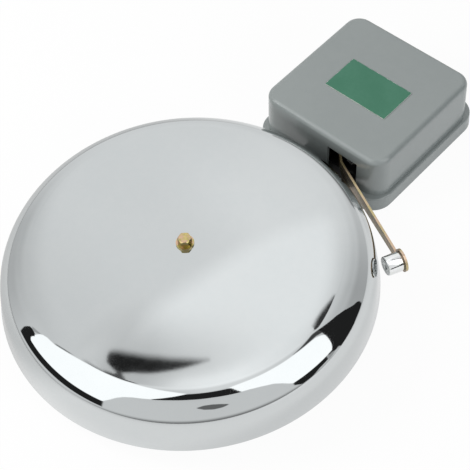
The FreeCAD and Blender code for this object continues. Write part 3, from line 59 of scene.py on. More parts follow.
# Where the camera stands, and so the direction that the gong mirrors
AZIMUTH, ELEVATION, ROLL = radians(45.95), radians(53.79), radians(-4.72)
TOWARDS_CAMERA = Vector((sin(AZIMUTH) * cos(ELEVATION), -cos(AZIMUTH) * cos(ELEVATION), sin(ELEVATION)))
AIM = Vector((1.85, 42.65, 20.0)) * MM
DISTANCE = 849.67 * MM
LENS, SENSOR_WIDTH = 97.33, 36.0
NEAR_LIMIT, FAR_LIMIT = 0.01, 50.0


# ---------------------------------------------------------------- node helpers


def add(tree, kind, sockets=None, **settings):
    """A shader node with its settings made, and each named socket linked or set."""
    made = tree.nodes.new("ShaderNode" + kind)
    for name, setting in settings.items():
        setattr(made, name, setting)
    for name, content in (sockets or {}).items():
        give(tree, made.inputs[name], content)
    return made


def give(tree, socket, content):
    """Link an output to the socket, or set its value."""
    if isinstance(content, bpy.types.NodeSocket):
        tree.links.new(content, socket)
    else:
        socket.default_value = content


def maths(tree, operation, first, second=0.0, third=0.0, clamp=False):
    """One operation on up to three numbers."""
    made = tree.nodes.new("ShaderNodeMath")
    made.operation = operation
    made.use_clamp = clamp
    for socket, content in zip(made.inputs, (first, second, third)):
        give(tree, socket, content)
    return made.outputs[0]


def vectors(tree, operation, *given):
    """One operation on one or two vectors; gives the node's outputs."""
    return add(tree, "VectorMath", dict(enumerate(given)), operation=operation).outputs


def ramp(tree, content, low, high, to_low=0.0, to_high=1.0, smooth=True):
    """content from low..high to to_low..to_high, held at both ends."""
    sockets = {"Value": content, "From Min": low, "From Max": high, "To Min": to_low, "To Max": to_high}
    kind = "SMOOTHSTEP" if smooth else "LINEAR"
    return add(tree, "MapRange", sockets, interpolation_type=kind).outputs["Result"]


def mix_node(tree, kind, contents, given, result):
    """A Mix node of one kind. given and result say which of its many sockets that kind uses."""
    made = tree.nodes.new("ShaderNodeMix")
    made.data_type = kind
    for number, content in zip(given, contents):
        give(tree, made.inputs[number], content)
    return made.outputs[result]


def mixed(tree, share, first, second):
    """Two colours mixed by share."""
    return mix_node(tree, "RGBA", (share, first, second), given=(0, 6, 7), result=2)


def mixed_value(tree, share, first, second):
    """Two numbers mixed by share."""
    return mix_node(tree, "FLOAT", (share, first, second), given=(0, 2, 3), result=0)


def rgb(red, green, blue):
    return (red, green, blue, 1.0)


def own_places(tree):
    """The object's own coordinates, in metres."""
    return add(tree, "TexCoord").outputs["Object"]


def surface_normal(tree):
    return add(tree, "NewGeometry").outputs["Normal"]


def places(tree, scale=(1.0, 1.0, 1.0), shift=(0.0, 0.0, 0.0)):
    """The object's own coordinates, stretched and shifted for a pattern."""
    sockets = {"Vector": own_places(tree), "Scale": scale, "Location": shift}
    return add(tree, "Mapping", sockets).outputs["Vector"]


def noise(tree, vector, scale, detail=2.0, roughness=0.5):
    sockets = {"Vector": vector, "Scale": scale, "Detail": detail, "Roughness": roughness}
    return add(tree, "TexNoise", sockets).outputs[0]


def new_group(name, inputs, outputs):
    """An empty node group with number inputs and its outputs; gives the tree and its two ends."""
    tree = bpy.data.node_groups.new(name, "ShaderNodeTree")
    for label, number in inputs.items():
        socket = tree.interface.new_socket(name=label, in_out="INPUT", socket_type="NodeSocketFloat")
        socket.default_value = number
    for label in outputs:
        tree.interface.new_socket(name=label, in_out="OUTPUT", socket_type="NodeSocketFloat")
    return tree, tree.nodes.new("NodeGroupInput").outputs, tree.nodes.new("NodeGroupOutput").inputs


def use_group(tree, group, **numbers):
    """The outputs of a group node with its inputs set."""
    made = tree.nodes.new("ShaderNodeGroup")
    made.node_tree = group
    for name, content in numbers.items():
        give(tree, made.inputs[name.replace("_", " ")], content)
    return made.outputs


# ---------------------------------------------------------------- effects that finishes share


def make_edges_group():
    """Where a sharp edge is near: 1 on the edge, 0 on a flat face."""
    tree, given, out = new_group("rubbed_edges", {"Reach": 0.5 * MM, "Breakup": 900.0}, ["Edge"])
    rounded = add(tree, "Bevel", {"Radius": given["Reach"]}, samples=6).outputs[0]
    alike = vectors(tree, "DOT_PRODUCT", rounded, surface_normal(tree))["Value"]
    bent = ramp(tree, alike, 0.995, 0.86)
    patchy = ramp(tree, noise(tree, places(tree), given["Breakup"], 3.0, 0.6), 0.36, 0.62)
    give(tree, out["Edge"], maths(tree, "MULTIPLY", bent, patchy))
    return tree


def make_peel_group():
    """The fine ripple of sprayed paint or plating over a pressed sheet."""
    tree, given, out = new_group("surface_ripple", {"Scale": 600.0, "Grit": 2600.0}, ["Height", "Dust"])
    base = places(tree)
    slow = noise(tree, base, given["Scale"], 1.5, 0.5)
    fine = noise(tree, base, given["Grit"], 2.0, 0.6)
    give(tree, out["Height"], maths(tree, "MULTIPLY_ADD", fine, 0.25, slow))
    give(tree, out["Dust"], ramp(tree, fine, 0.25, 0.75, smooth=False))
    return tree


def make_handling_group():
    """Broad soft patches where a surface has been wiped or handled."""
    tree, given, out = new_group("handling", {"Scale": 24.0, "Fine": 190.0}, ["Patches"])
    base = places(tree)
    broad = noise(tree, base, given["Scale"], 3.0, 0.55)
    small = noise(tree, base, given["Fine"], 4.0, 0.65)
    both = maths(tree, "MULTIPLY_ADD", small, 0.4, maths(tree, "MULTIPLY", broad, 0.6))
    give(tree, out["Patches"], ramp(tree, both, 0.34, 0.66))
    return tree


def make_lines_group():
    """Fine lines along X left by rolling, drawing or turning."""
    tree, given, out = new_group("tool_lines", {"Along": 60.0, "Across": 5200.0, "Turn": 0.0}, ["Lines"])
    turn = add(tree, "CombineXYZ", {"Z": given["Turn"]}).outputs[0]
    turned = add(tree, "Mapping", {"Vector": own_places(tree), "Rotation": turn}).outputs["Vector"]
    stretch = add(tree, "CombineXYZ", {"X": given["Along"], "Y": given["Across"], "Z": given["Across"]})
    drawn = vectors(tree, "MULTIPLY", turned, stretch.outputs[0])["Vector"]
    give(tree, out["Lines"], ramp(tree, noise(tree, drawn, 1.0, 3.0, 0.6), 0.3, 0.7, smooth=False))
    return tree


# Moves a noise so that its patches fall elsewhere
OTHER_PATCHES = (0.31, 0.17, 0.05)
RUBBED_EDGES = make_edges_group()
SURFACE_RIPPLE = make_peel_group()
HANDLING = make_handling_group()
TOOL_LINES = make_lines_group()


# ---------------------------------------------------------------- finishes


def new_material(name, **constants):
    """A material with a Principled BSDF and its constant sockets set."""
    material = bpy.data.materials.new(name)
    material.use_nodes = True
    tree = material.node_tree
    shader = tree.nodes["Principled BSDF"]
    for label, number in constants.items():
        shader.inputs[label.replace("_", " ")].default_value = number
    return material, tree, shader


def bump(tree, shader, height, distance, strength):
    """Give the shader a fine relief, distance deep."""
    made = add(tree, "Bump", {"Height": height, "Distance": distance, "Strength": strength})
    give(tree, shader.inputs["Normal"], made.outputs[0])


def within(tree, coords, low, high, soft=(0.1 * MM, 0.1 * MM, 0.1 * MM)):
    """1 where a place lies inside the box from low to high, with soft sides."""
    inside = 1.0
    for axis, first, last, blur in zip(add(tree, "SeparateXYZ", {0: coords}).outputs, low, high, soft):
        inside = maths(tree, "MULTIPLY", inside, ramp(tree, axis, first - blur, first + blur))
        inside = maths(tree, "MULTIPLY", inside, ramp(tree, axis, last + blur, last - blur))
    return inside


def painted_steel(name, black_shade_boxes=(), wall_shade_boxes=()):
    """Satin grey stove enamel: a soft ripple, faint dust in the coat and paler edges, part rubbed wear and part
    painted highlight.

    The boxes in the first list are painted near black as painted shade, and those in the second list are darkened
    with painted shade.
    """
    material, tree, shader = new_material(name, Specular_IOR_Level=1.0)
    edge = use_group(tree, RUBBED_EDGES, Reach=0.7 * MM, Breakup=420.0)["Edge"]
    ripple = use_group(tree, SURFACE_RIPPLE, Scale=520.0, Grit=2400.0)
    patches = use_group(tree, HANDLING, Scale=17.0, Fine=120.0)["Patches"]
    colour = mixed(tree, patches, rgb(0.274, 0.305, 0.302), rgb(0.288, 0.319, 0.316))
    colour = mixed(tree, maths(tree, "MULTIPLY", ripple["Dust"], 0.2), colour, rgb(0.245, 0.273, 0.270))
    # Paler edges: part rubbed wear, part painted highlight
    colour = mixed(tree, maths(tree, "MULTIPLY", edge, 0.35), colour, rgb(0.41, 0.44, 0.435))
    roughness = ramp(tree, patches, 0.0, 1.0, 0.23, 0.19)
    coords = own_places(tree)
    # Painted shade: the base's top under the cover and at the slot's sill is coloured near black and made rough
    for low, high in black_shade_boxes:
        bare = within(tree, coords, low, high)
        black_shade_colour = mixed(tree, patches, rgb(0.016, 0.016, 0.017), rgb(0.024, 0.024, 0.024))
        colour = mixed(tree, bare, colour, black_shade_colour)
        roughness = mixed_value(tree, bare, roughness, 0.7)
    # Painted shade on the cover's wall beside the gong, round the slot, with a strength that varies in patches
    for low, high, soft in wall_shade_boxes:
        thickness = ramp(tree, patches, -1.0, 1.0, 0.5, 0.7)
        wall_shade = maths(tree, "MULTIPLY", within(tree, coords, low, high, soft), thickness)
        colour = mixed(tree, wall_shade, colour, rgb(0.070, 0.078, 0.076))
    give(tree, shader.inputs["Base Color"], colour)
    give(tree, shader.inputs["Roughness"], roughness)
    bump(tree, shader, ripple["Height"], 0.035 * MM, 0.6)
    return material


def chrome_plate():
    """Bright chrome over a pressed steel shell, with the press's faint ripple under the plating."""
    material, tree, shader = new_material("bright_chrome_plate", Metallic=1.0)
    patches = use_group(tree, HANDLING, Scale=14.0, Fine=160.0)["Patches"]
    ripple = use_group(tree, SURFACE_RIPPLE, Scale=700.0, Grit=2600.0)["Height"]
    chrome = mixed(tree, patches, rgb(0.628, 0.652, 0.657), rgb(0.646, 0.666, 0.669))
    give(tree, shader.inputs["Base Color"], chrome)
    give(tree, shader.inputs["Roughness"], ramp(tree, patches, 0.0, 1.0, 0.022, 0.04))
    bump(tree, shader, ripple, 0.0012 * MM, 0.6)
    return material


def other_hue(tree, scale, high):
    """1 where the plating's second hue shows, in patches unlike the cloud's."""
    return ramp(tree, noise(tree, places(tree, shift=OTHER_PATCHES), scale, 2.0, 0.5), 0.42, high)


def plated_metal(name, pale, deep, roughness, spangle=700.0, turn=0.0, tint=None, worn=None, sides=None):
    """Plated or bare metal with tool lines, cloudy colour and brighter rubbed edges.

    The colour in sides is painted shade on what stands upright.
    """
    material, tree, shader = new_material(name, Metallic=1.0)
    edge = use_group(tree, RUBBED_EDGES, Reach=0.25 * MM, Breakup=1400.0)["Edge"]
    lines = use_group(tree, TOOL_LINES, Turn=turn)["Lines"]
    cloud = ramp(tree, noise(tree, places(tree), spangle, 3.0, 0.6), 0.3, 0.7)
    colour = mixed(tree, cloud, deep, pale)
    if tint:
        colour = mixed(tree, other_hue(tree, spangle * 0.45, 0.62), colour, tint)
    # Painted shade: faces that stand upright are darkened towards the sides colour
    if sides:
        facing = add(tree, "SeparateXYZ", {0: surface_normal(tree)}).outputs["Z"]
        upright = ramp(tree, maths(tree, "ABSOLUTE", facing), 0.75, 0.35)
        colour = mixed(tree, maths(tree, "MULTIPLY", upright, 0.75), colour, sides)
    colour = mixed(tree, maths(tree, "MULTIPLY", edge, 0.6), colour, worn or pale)
    give(tree, shader.inputs["Base Color"], colour)
    low, high = roughness
    give(tree, shader.inputs["Roughness"], ramp(tree, lines, 0.0, 1.0, low, high, smooth=False))
    bump(tree, shader, lines, 0.012 * MM, 0.5)
    return material


def passivated_arm():
    """Yellow passivate on the sawn strip: olive on the broad faces and pale and pink on the edges, the broad faces
    darker by painted shade and the edges paler by a painted highlight.
    """
    material, tree, shader = new_material("passivated_striker_arm", Metallic=0.8)
    # Painted shade on the broad upright faces and a painted highlight on the edges, by which way a face points
    square = vectors(tree, "DOT_PRODUCT", surface_normal(tree), ACROSS_ARM)["Value"]
    broad = ramp(tree, maths(tree, "ABSOLUTE", square), 0.55, 0.8)
    lines = use_group(tree, TOOL_LINES, Turn=-STRIKER_TURN, Across=3600.0)["Lines"]
    cloud = ramp(tree, noise(tree, places(tree), 230.0, 3.0, 0.6), 0.34, 0.66)
    hue = other_hue(tree, 120.0, 0.6)
    olive = mixed(tree, cloud, rgb(0.135, 0.112, 0.060), rgb(0.220, 0.185, 0.105))
    olive = mixed(tree, maths(tree, "MULTIPLY", hue, 0.6), olive, rgb(0.235, 0.150, 0.095))
    pale = mixed(tree, hue, rgb(0.58, 0.48, 0.26), rgb(0.66, 0.49, 0.36))
    colour = mixed(tree, broad, pale, olive)
    give(tree, shader.inputs["Base Color"], mixed(tree, maths(tree, "MULTIPLY", lines, 0.15), colour, pale))
    give(tree, shader.inputs["Roughness"], ramp(tree, lines, 0.0, 1.0, 0.16, 0.30, smooth=False))
    bump(tree, shader, lines, 0.012 * MM, 0.5)
    return material


def hammer_zinc():
    """Bright zinc on the turned hammer: a worn, mottled striking face and painted shade down in the rolled seam."""
    material = plated_metal(
        "turned_bright_zinc",
        rgb(0.93, 0.935, 0.94),
        rgb(0.86, 0.87, 0.875),
        (0.07, 0.16),
        tint=rgb(0.88, 0.90, 0.88),
        turn=-STRIKER_TURN,
    )
    tree = material.node_tree
    shader = tree.nodes["Principled BSDF"]
    plated = shader.inputs["Base Color"].links[0].from_socket
    polish = shader.inputs["Roughness"].links[0].from_socket
    forward = vectors(tree, "DOT_PRODUCT", surface_normal(tree), ACROSS_ARM)["Value"]
    mottle = ramp(tree, noise(tree, places(tree), 900.0, 3.0, 0.6), 0.36, 0.62)
    worn = mixed(tree, mottle, rgb(0.30, 0.305, 0.30), rgb(0.84, 0.85, 0.84))
    struck = maths(tree, "MULTIPLY", ramp(tree, forward, 0.55, 0.92), 0.75)
    # Painted shade: the seam's groove is coloured near black
    from_back = vectors(tree, "SUBTRACT", own_places(tree), HAMMER_BACK)["Vector"]
    along = vectors(tree, "DOT_PRODUCT", from_back, ACROSS_ARM)["Value"]
    off_axis = vectors(tree, "LENGTH", vectors(tree, "CROSS_PRODUCT", from_back, ACROSS_ARM)["Vector"])["Value"]
    sunk = ramp(tree, off_axis, HAMMER_RADIUS - 0.05 * MM, HAMMER_RADIUS - 0.15 * MM)
    seam = maths(tree, "MULTIPLY", sunk, ramp(tree, along, 10.0 * MM, 9.7 * MM))
    colour = mixed(tree, seam, mixed(tree, struck, plated, worn), rgb(0.025, 0.024, 0.022))
    give(tree, shader.inputs["Base Color"], colour)
    give(tree, shader.inputs["Roughness"], mixed_value(tree, maths(tree, "MAXIMUM", seam, struck), polish, 0.34))
    return material


def moulded(name, base, deep, roughness, grain=1500.0):
    """Moulded plastic or rubber, or thick enamel: fine texture, slight shade and paler rubbed edges."""
    material, tree, shader = new_material(name)
    edge = use_group(tree, RUBBED_EDGES, Reach=0.3 * MM, Breakup=1100.0)["Edge"]
    ripple = use_group(tree, SURFACE_RIPPLE, Scale=grain, Grit=grain * 3.0)
    patches = use_group(tree, HANDLING, Scale=60.0, Fine=420.0)["Patches"]
    colour = mixed(tree, patches, deep, base)
    pale = rgb(*[min(1.0, part * 1.35 + 0.02) for part in base[:3]])
    colour = mixed(tree, maths(tree, "MULTIPLY", edge, 0.5), colour, pale)
    give(tree, shader.inputs["Base Color"], colour)
    give(tree, shader.inputs["Roughness"], ramp(tree, patches, 0.0, 1.0, roughness + 0.06, roughness - 0.06))
    bump(tree, shader, ripple["Height"], 0.02 * MM, 0.6)
    return material


def green_plate():
    """Engraving laminate: a matt green face over a pale core that shows at the cut edge."""
    material, tree, shader = new_material("green_faced_laminate", Specular_IOR_Level=0.3)
    facing = add(tree, "SeparateXYZ", {0: surface_normal(tree)}).outputs["Z"]
    core = ramp(tree, facing, 0.92, 0.7)
    ripple = use_group(tree, SURFACE_RIPPLE, Scale=1200.0, Grit=4200.0)
    patches = use_group(tree, HANDLING, Scale=45.0, Fine=400.0)["Patches"]
    colour = mixed(tree, patches, rgb(0.064, 0.204, 0.131), rgb(0.074, 0.224, 0.147))
    colour = mixed(tree, maths(tree, "MULTIPLY", ripple["Dust"], 0.2), colour, rgb(0.090, 0.240, 0.165))
    chipped = use_group(tree, RUBBED_EDGES, Reach=0.5 * MM, Breakup=260.0)["Edge"]
    core = maths(tree, "MAXIMUM", core, ramp(tree, chipped, 0.55, 0.9))
    colour = mixed(tree, core, colour, rgb(0.70, 0.74, 0.69))
    give(tree, shader.inputs["Base Color"], colour)
    give(tree, shader.inputs["Roughness"], ramp(tree, patches, 0.0, 1.0, 0.62, 0.52))
    bump(tree, shader, ripple["Height"], 0.012 * MM, 0.5)
    return material


def wound_copper():
    """Enamelled wire: lacquered copper, each turn along the coil's axis, Y, a little different."""
    material, tree, shader = new_material("enamelled_copper_winding", Metallic=0.85, Coat_Roughness=0.18)
    turns = noise(tree, places(tree, scale=(0.02, 1.0, 0.02)), 2600.0, 1.0)
    patches = use_group(tree, HANDLING, Scale=90.0, Fine=600.0)["Patches"]
    copper = mixed(tree, patches, rgb(0.40, 0.135, 0.052), rgb(0.56, 0.225, 0.095))
    dull = maths(tree, "MULTIPLY", ramp(tree, turns, 0.35, 0.65), 0.4)
    give(tree, shader.inputs["Base Color"], mixed(tree, dull, copper, rgb(0.24, 0.08, 0.03)))
    give(tree, shader.inputs["Roughness"], ramp(tree, turns, 0.3, 0.7, 0.26, 0.42))
    give(tree, shader.inputs["Coat Weight"], ramp(tree, patches, 0.0, 1.0, 0.35, 0.65))
    bump(tree, shader, patches, 0.02 * MM, 0.5)
    return material


FINISHES = {
    "grey_paint": painted_steel("satin_grey_paint"),
    "chrome_plate": chrome_plate(),
    "zinc_steel": plated_metal(
        "bright_zinc_plate", rgb(0.80, 0.815, 0.83), rgb(0.68, 0.70, 0.72), (0.16, 0.30), tint=rgb(0.74, 0.77, 0.72)
    ),
    "yellow_zinc": plated_metal(
        "yellow_passivated_zinc",
        rgb(0.68, 0.57, 0.22),
        rgb(0.44, 0.38, 0.13),
        (0.14, 0.26),
        spangle=420.0,
        tint=rgb(0.70, 0.47, 0.33),
        worn=rgb(0.88, 0.80, 0.50),
        # the dark olive of the upright faces is painted shade
        sides=rgb(0.20, 0.18, 0.055),
    ),
    "turned_zinc": hammer_zinc(),
    "black_steel": moulded(
        "black_enamelled_steel", rgb(0.022, 0.022, 0.023), rgb(0.016, 0.016, 0.017), 0.34, grain=700.0
    ),
    "soft_iron": plated_metal(
        "machined_soft_iron", rgb(0.36, 0.355, 0.35), rgb(0.24, 0.238, 0.235), (0.34, 0.52), spangle=300.0
    ),
    "spring_steel": plated_metal("bright_spring_wire", rgb(0.56, 0.56, 0.57), rgb(0.44, 0.44, 0.45), (0.2, 0.34)),
    "brass": plated_metal(
        "machined_brass", rgb(0.80, 0.60, 0.26), rgb(0.66, 0.47, 0.18), (0.18, 0.32), worn=rgb(0.88, 0.71, 0.38)
    ),
    "contact_silver": plated_metal("contact_silver", rgb(0.82, 0.81, 0.78), rgb(0.66, 0.65, 0.62), (0.2, 0.36)),
    "copper_wire": wound_copper(),
    "black_moulding": moulded("black_coil_former", rgb(0.030, 0.031, 0.033), rgb(0.022, 0.022, 0.024), 0.42),
    "acetal": moulded("natural_acetal", rgb(0.78, 0.77, 0.72), rgb(0.72, 0.71, 0.66), 0.36),
    "fibre_sheet": moulded("red_fibre_sheet", rgb(0.30, 0.085, 0.045), rgb(0.22, 0.06, 0.034), 0.58, grain=900.0),
    "pale_moulding": moulded("pale_terminal_moulding", rgb(0.68, 0.66, 0.58), rgb(0.60, 0.58, 0.51), 0.34),
    "black_rubber": moulded("black_rubber", rgb(0.024, 0.024, 0.025), rgb(0.016, 0.016, 0.017), 0.62, grain=1100.0),
    "green_label": green_plate(),
    "red_sleeve": moulded("red_wire_sleeve", rgb(0.42, 0.030, 0.024), rgb(0.34, 0.024, 0.020), 0.38),
    "black_sleeve": moulded("black_wire_sleeve", rgb(0.022, 0.022, 0.025), rgb(0.016, 0.016, 0.018), 0.38),
}

# Painted black shade on the base plate's top, under the cover and out through the striker's slot
COVER_LOW, COVER_HIGH = (Vector(corner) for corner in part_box("mechanism_cover"))
COVER_WALL = 4.0 * MM
BLACK_SHADE_LOW, BLACK_SHADE_HIGH = 10.0 * MM, 11.5 * MM
BOX_FLOOR_SHADE = (
    Vector((COVER_LOW.x + COVER_WALL, COVER_LOW.y + COVER_WALL, BLACK_SHADE_LOW)),
    Vector((COVER_HIGH.x - COVER_WALL, COVER_HIGH.y - COVER_WALL, BLACK_SHADE_HIGH)),
)
SILL_SHADE = (Vector((0.0, 125.5 * MM, BLACK_SHADE_LOW)), Vector((34.0 * MM, 137.0 * MM, BLACK_SHADE_HIGH)))
# The cover's wall that faces the gong, round the slot, darkened by painted shade: two corners and how far the
# painted shade fades
SLOT_WALL_SHADE = (Vector((-38.0, 120.0, 5.0)) * MM, Vector((36.0, 134.5, 37.0)) * MM, Vector((15.0, 2.0, 5.0)) * MM)
# Nodes whose finish differs over the piece
SPECIAL = {
    "mechanism_cover": painted_steel("satin_grey_paint_with_painted_wall_shade", wall_shade_boxes=[SLOT_WALL_SHADE]),
    "base_plate": painted_steel("satin_grey_paint_with_painted_black_shade", black_shade_boxes=[SILL_SHADE, BOX_FLOOR_SHADE]),
    "striker_arm": passivated_arm(),
}
SLOT_OF = {row["node"]: row["material_slot"] for row in frame["record"]["subparts"]}
for name, item in nodes.items():
    item.data.materials.clear()
    item.data.materials.append(SPECIAL.get(name) or FINISHES[SLOT_OF[name]])


# ---------------------------------------------------------------- modelled pieces


def start_piece(name):
    """Name the primitive that was just added and start to edit it."""
    piece = bpy.context.object
    piece.name = name
    piece.data.name = name
    bpy.ops.object.mode_set(mode="EDIT")
    return piece


def settle(piece, body, finish, replaced=()):
    """Put the piece's place in its mesh, give it its finish and tie it to a body."""
    bpy.ops.object.mode_set(mode="OBJECT")
    bpy.ops.object.transform_apply(location=True, rotation=True, scale=True)
    piece.data.materials.clear()
    piece.data.materials.append(finish)
    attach(piece, body)
    if replaced:
        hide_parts(*replaced)
    bpy.ops.object.select_all(action="DESELECT")


def select_faces(piece, wanted):
    """Select, in edit mode, only the faces that wanted(face) holds for."""
    bpy.ops.object.mode_set(mode="OBJECT")
    mesh = piece.data
    for part in (mesh.vertices, mesh.edges, mesh.polygons):
        part.foreach_set("select", [False] * len(part))
    for face in mesh.polygons:
        face.select = wanted(face)
    bpy.ops.object.mode_set(mode="EDIT")
    bpy.ops.mesh.select_mode(type="FACE")


def arc(centre, radius, first, last, steps):
    """Points (radius from the gong's axis, height) of an arc, its lean from level in degrees."""
    leans = [radians(first + (last - first) * step / steps) for step in range(steps + 1)]
    return [(centre[0] + radius * sin(lean), centre[1] + radius * cos(lean)) for lean in leans]


def gong_profile():
    """The shell's section, in millimetres, from the hole over the dome to the rim and back inside."""
    wall, hole, lip = 1.6, 2.8, 0.5
    rim_radius, rim_height, side_height, taper = 125.0, 13.6, 15.9, 8.85
    shoulder, dome = 24.0, 1055.0
    dome_steps, shoulder_steps, lip_steps = (14, 8), (64, 32), 8
    lean = radians(taper)
    turn = (
        rim_radius - side_height * tan(lean) - shoulder * cos(lean),
        rim_height + side_height - shoulder * sin(lean),
    )
    dome_centre = (0.0, turn[1] - sqrt((dome - shoulder) ** 2 - turn[0] ** 2))
    meet = degrees(asin(turn[0] / (dome - shoulder)))
    outside = arc(dome_centre, dome, degrees(asin(hole / dome)), meet, dome_steps[0])
    outside += arc(turn, shoulder, meet, 90.0 - taper, shoulder_steps[0])[1:]
    inside = arc(turn, shoulder - wall, 90.0 - taper, meet, shoulder_steps[1])
    inside += arc(dome_centre, dome - wall, meet, degrees(asin(hole / (dome - wall))), dome_steps[1])[1:]
    outer_foot = (rim_radius - lip * tan(lean), rim_height + lip)
    inner_foot = (rim_radius - wall / cos(lean) - lip * tan(lean), rim_height + lip)
    middle = ((outer_foot[0] + inner_foot[0]) / 2, rim_height + lip)
    half = (outer_foot[0] - inner_foot[0]) / 2
    angles = [pi * step / lip_steps for step in range(lip_steps + 1)]
    rounded = [(middle[0] + half * cos(angle), middle[1] - lip * sin(angle)) for angle in angles]
    return outside + rounded + inside


# Steps round the gong, and how near two points are one
GONG_STEPS, DOUBLES = 256, 0.001 * MM


def make_gong():
    """The pressed shell, its section spun round the axis."""
    points = [Vector((across, 0.0, height)) * MM for across, height in gong_profile()]
    bpy.ops.mesh.primitive_plane_add(size=1.0 * MM, location=(0.0, 0.0, 0.0))
    piece = start_piece("gong_shell")
    bpy.ops.mesh.select_all(action="SELECT")
    bpy.ops.mesh.merge(type="CENTER")
    bpy.ops.transform.translate(value=points[0])
    for last, point in zip(points, points[1:]):
        bpy.ops.mesh.extrude_region_move(TRANSFORM_OT_translate={"value": point - last})
    bpy.ops.mesh.select_all(action="SELECT")
    bpy.ops.mesh.edge_face_add()
    bpy.ops.mesh.delete(type="ONLY_FACE")
    bpy.ops.mesh.select_all(action="SELECT")
    bpy.ops.mesh.spin(steps=GONG_STEPS, angle=2 * pi, center=(0.0, 0.0, 0.0), axis=(0.0, 0.0, 1.0))
    bpy.ops.mesh.select_all(action="SELECT")
    bpy.ops.mesh.remove_doubles(threshold=DOUBLES)
    bpy.ops.mesh.normals_make_consistent(inside=False)
    bpy.ops.object.mode_set(mode="OBJECT")
    bpy.ops.object.shade_smooth_by_angle(angle=radians(30))
    settle(piece, "base", FINISHES["chrome_plate"], ["gong"])


# The hammer's rounded end, the small chamfer at its back and the seam along its side
END_ROUNDING, BACK_CHAMFER = 0.9 * MM, 0.3 * MM
# From the striking face's rim inwards: how wide each ring is and how deep it sinks, in millimetres
FACE_RINGS = ((1.5, 0.0), (0.25, 0.18), (1.15, 0.0), (0.2, 0.25), (0.9, 0.7))
SEAM_ANGLE, SEAM_REACH = radians(57), radians(3.1)
SEAM_EDGE, SEAM_DEPTH = 0.06 * MM, 0.6 * MM


def make_hammer():
    """The turned hammer: rounded at its striking end, with a centre hole there and a rolled seam."""
    bpy.ops.mesh.primitive_cylinder_add(
        vertices=120,
        radius=HAMMER_RADIUS,
        depth=HAMMER_LENGTH,
        location=HAMMER_BACK + ACROSS_ARM * HAMMER_LENGTH / 2,
        rotation=ACROSS_ARM.to_track_quat("Z", "X").to_euler(),
    )
    piece = start_piece("hammer_turned")
    # The rounded striking end, with a ring and a centre hole
    select_faces(piece, lambda face: face.normal.z > 0.9)
    bpy.ops.mesh.bevel(offset=END_ROUNDING, segments=6, affect="EDGES")
    select_faces(piece, lambda face: face.normal.z > 0.99 and face.area > 1e-5)
    for width, sink in FACE_RINGS:
        bpy.ops.mesh.inset(thickness=width * MM, depth=-sink * MM)
    # The chamfer at the back
    select_faces(piece, lambda face: face.normal.z < -0.9)
    bpy.ops.mesh.bevel(offset=BACK_CHAMFER, segments=2, affect="EDGES")
    # The seam, a narrow groove along the body
    seam = Vector((cos(SEAM_ANGLE), -sin(SEAM_ANGLE), 0.0))
    select_faces(piece, lambda face: abs(face.normal.z) < 0.1 and face.normal.angle(seam) < SEAM_REACH)
    bpy.ops.mesh.inset(thickness=SEAM_EDGE)
    bpy.ops.mesh.extrude_region_shrink_fatten(TRANSFORM_OT_shrink_fatten={"value": -SEAM_DEPTH})
    bpy.ops.object.mode_set(mode="OBJECT")
    bpy.ops.object.shade_smooth_by_angle(angle=radians(24))
    settle(piece, "striker", FINISHES["turned_zinc"], ["striker_hammer"])


# The enamelled wire of a winding
WIRE_RADIUS, WIRE_TURNS = 0.232 * MM, 59


def make_winding(name, node):
    """One layer of enamelled wire, turn beside turn along Y, between the bobbin's cheeks."""
    low, high = (Vector(corner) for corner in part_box(node))
    middle = (low + high) / 2
    pitch = (high.y - low.y - 2 * WIRE_RADIUS) / (WIRE_TURNS - 1)
    bpy.ops.mesh.primitive_torus_add(
        major_segments=72,
        minor_segments=8,
        major_radius=(high.z - low.z) / 2 - WIRE_RADIUS,
        minor_radius=WIRE_RADIUS,
        location=(middle.x, low.y + WIRE_RADIUS, middle.z),
        rotation=(radians(90), 0.0, 0.0),
    )
    piece = start_piece(name)
    bpy.ops.mesh.select_all(action="SELECT")
    bpy.ops.mesh.normals_make_consistent(inside=False)
    bpy.ops.object.mode_set(mode="OBJECT")
    bpy.ops.object.transform_apply(location=True, rotation=True, scale=True)
    repeat = piece.modifiers.new("turns", "ARRAY")
    repeat.count, repeat.use_relative_offset, repeat.use_constant_offset = WIRE_TURNS, False, True
    repeat.constant_offset_displace = (0.0, pitch, 0.0)
    bpy.ops.object.modifier_apply(modifier="turns")
    bpy.ops.object.shade_smooth()
    settle(piece, "base", FINISHES["copper_wire"], [node])


bpy.ops.object.select_all(action="DESELECT")
make_gong()
make_hammer()
make_winding("left_coil_turns", "coil_winding_left")
make_winding("right_coil_turns", "coil_winding_right")


# ---------------------------------------------------------------- camera


def make_camera():
    """The camera, at DISTANCE from AIM and rolled a little to one side."""
    right = Vector((cos(AZIMUTH), sin(AZIMUTH), 0.0))
    up = TOWARDS_CAMERA.cross(right)
    rolled_right = cos(ROLL) * right + sin(ROLL) * up
    rolled_up = cos(ROLL) * up - sin(ROLL) * right
    data = bpy.data.cameras.new("studio_camera")
    data.lens, data.sensor_width = LENS, SENSOR_WIDTH
    data.clip_start, data.clip_end = NEAR_LIMIT, FAR_LIMIT
    camera = bpy.data.objects.new("studio_camera", data)
    bpy.context.scene.collection.objects.link(camera)
    place = Matrix((rolled_right, rolled_up, TOWARDS_CAMERA)).transposed().to_4x4()
    place.translation = AIM + TOWARDS_CAMERA * DISTANCE
    camera.matrix_world = place
    bpy.context.scene.camera = camera


# ---------------------------------------------------------------- studio

# The studio is drawn round the gong. A light or a black flag is placed by where its mirror image
# falls on the plating: ROUND is the angle round the gong from the side facing the camera, and TILT
# is the lean of the plating there away from level, both in degrees.
GONG_TOP = Vector((0.0, 0.0, 50.0)) * MM
MIRRORED = (AIM + TOWARDS_CAMERA * DISTANCE - GONG_TOP).normalized()
FRONT_SPAN, ALL_ROUND, TILT_SPAN = 75.0, 180.0, 60.0
BLACK, WHITE = 0.02, 1.5
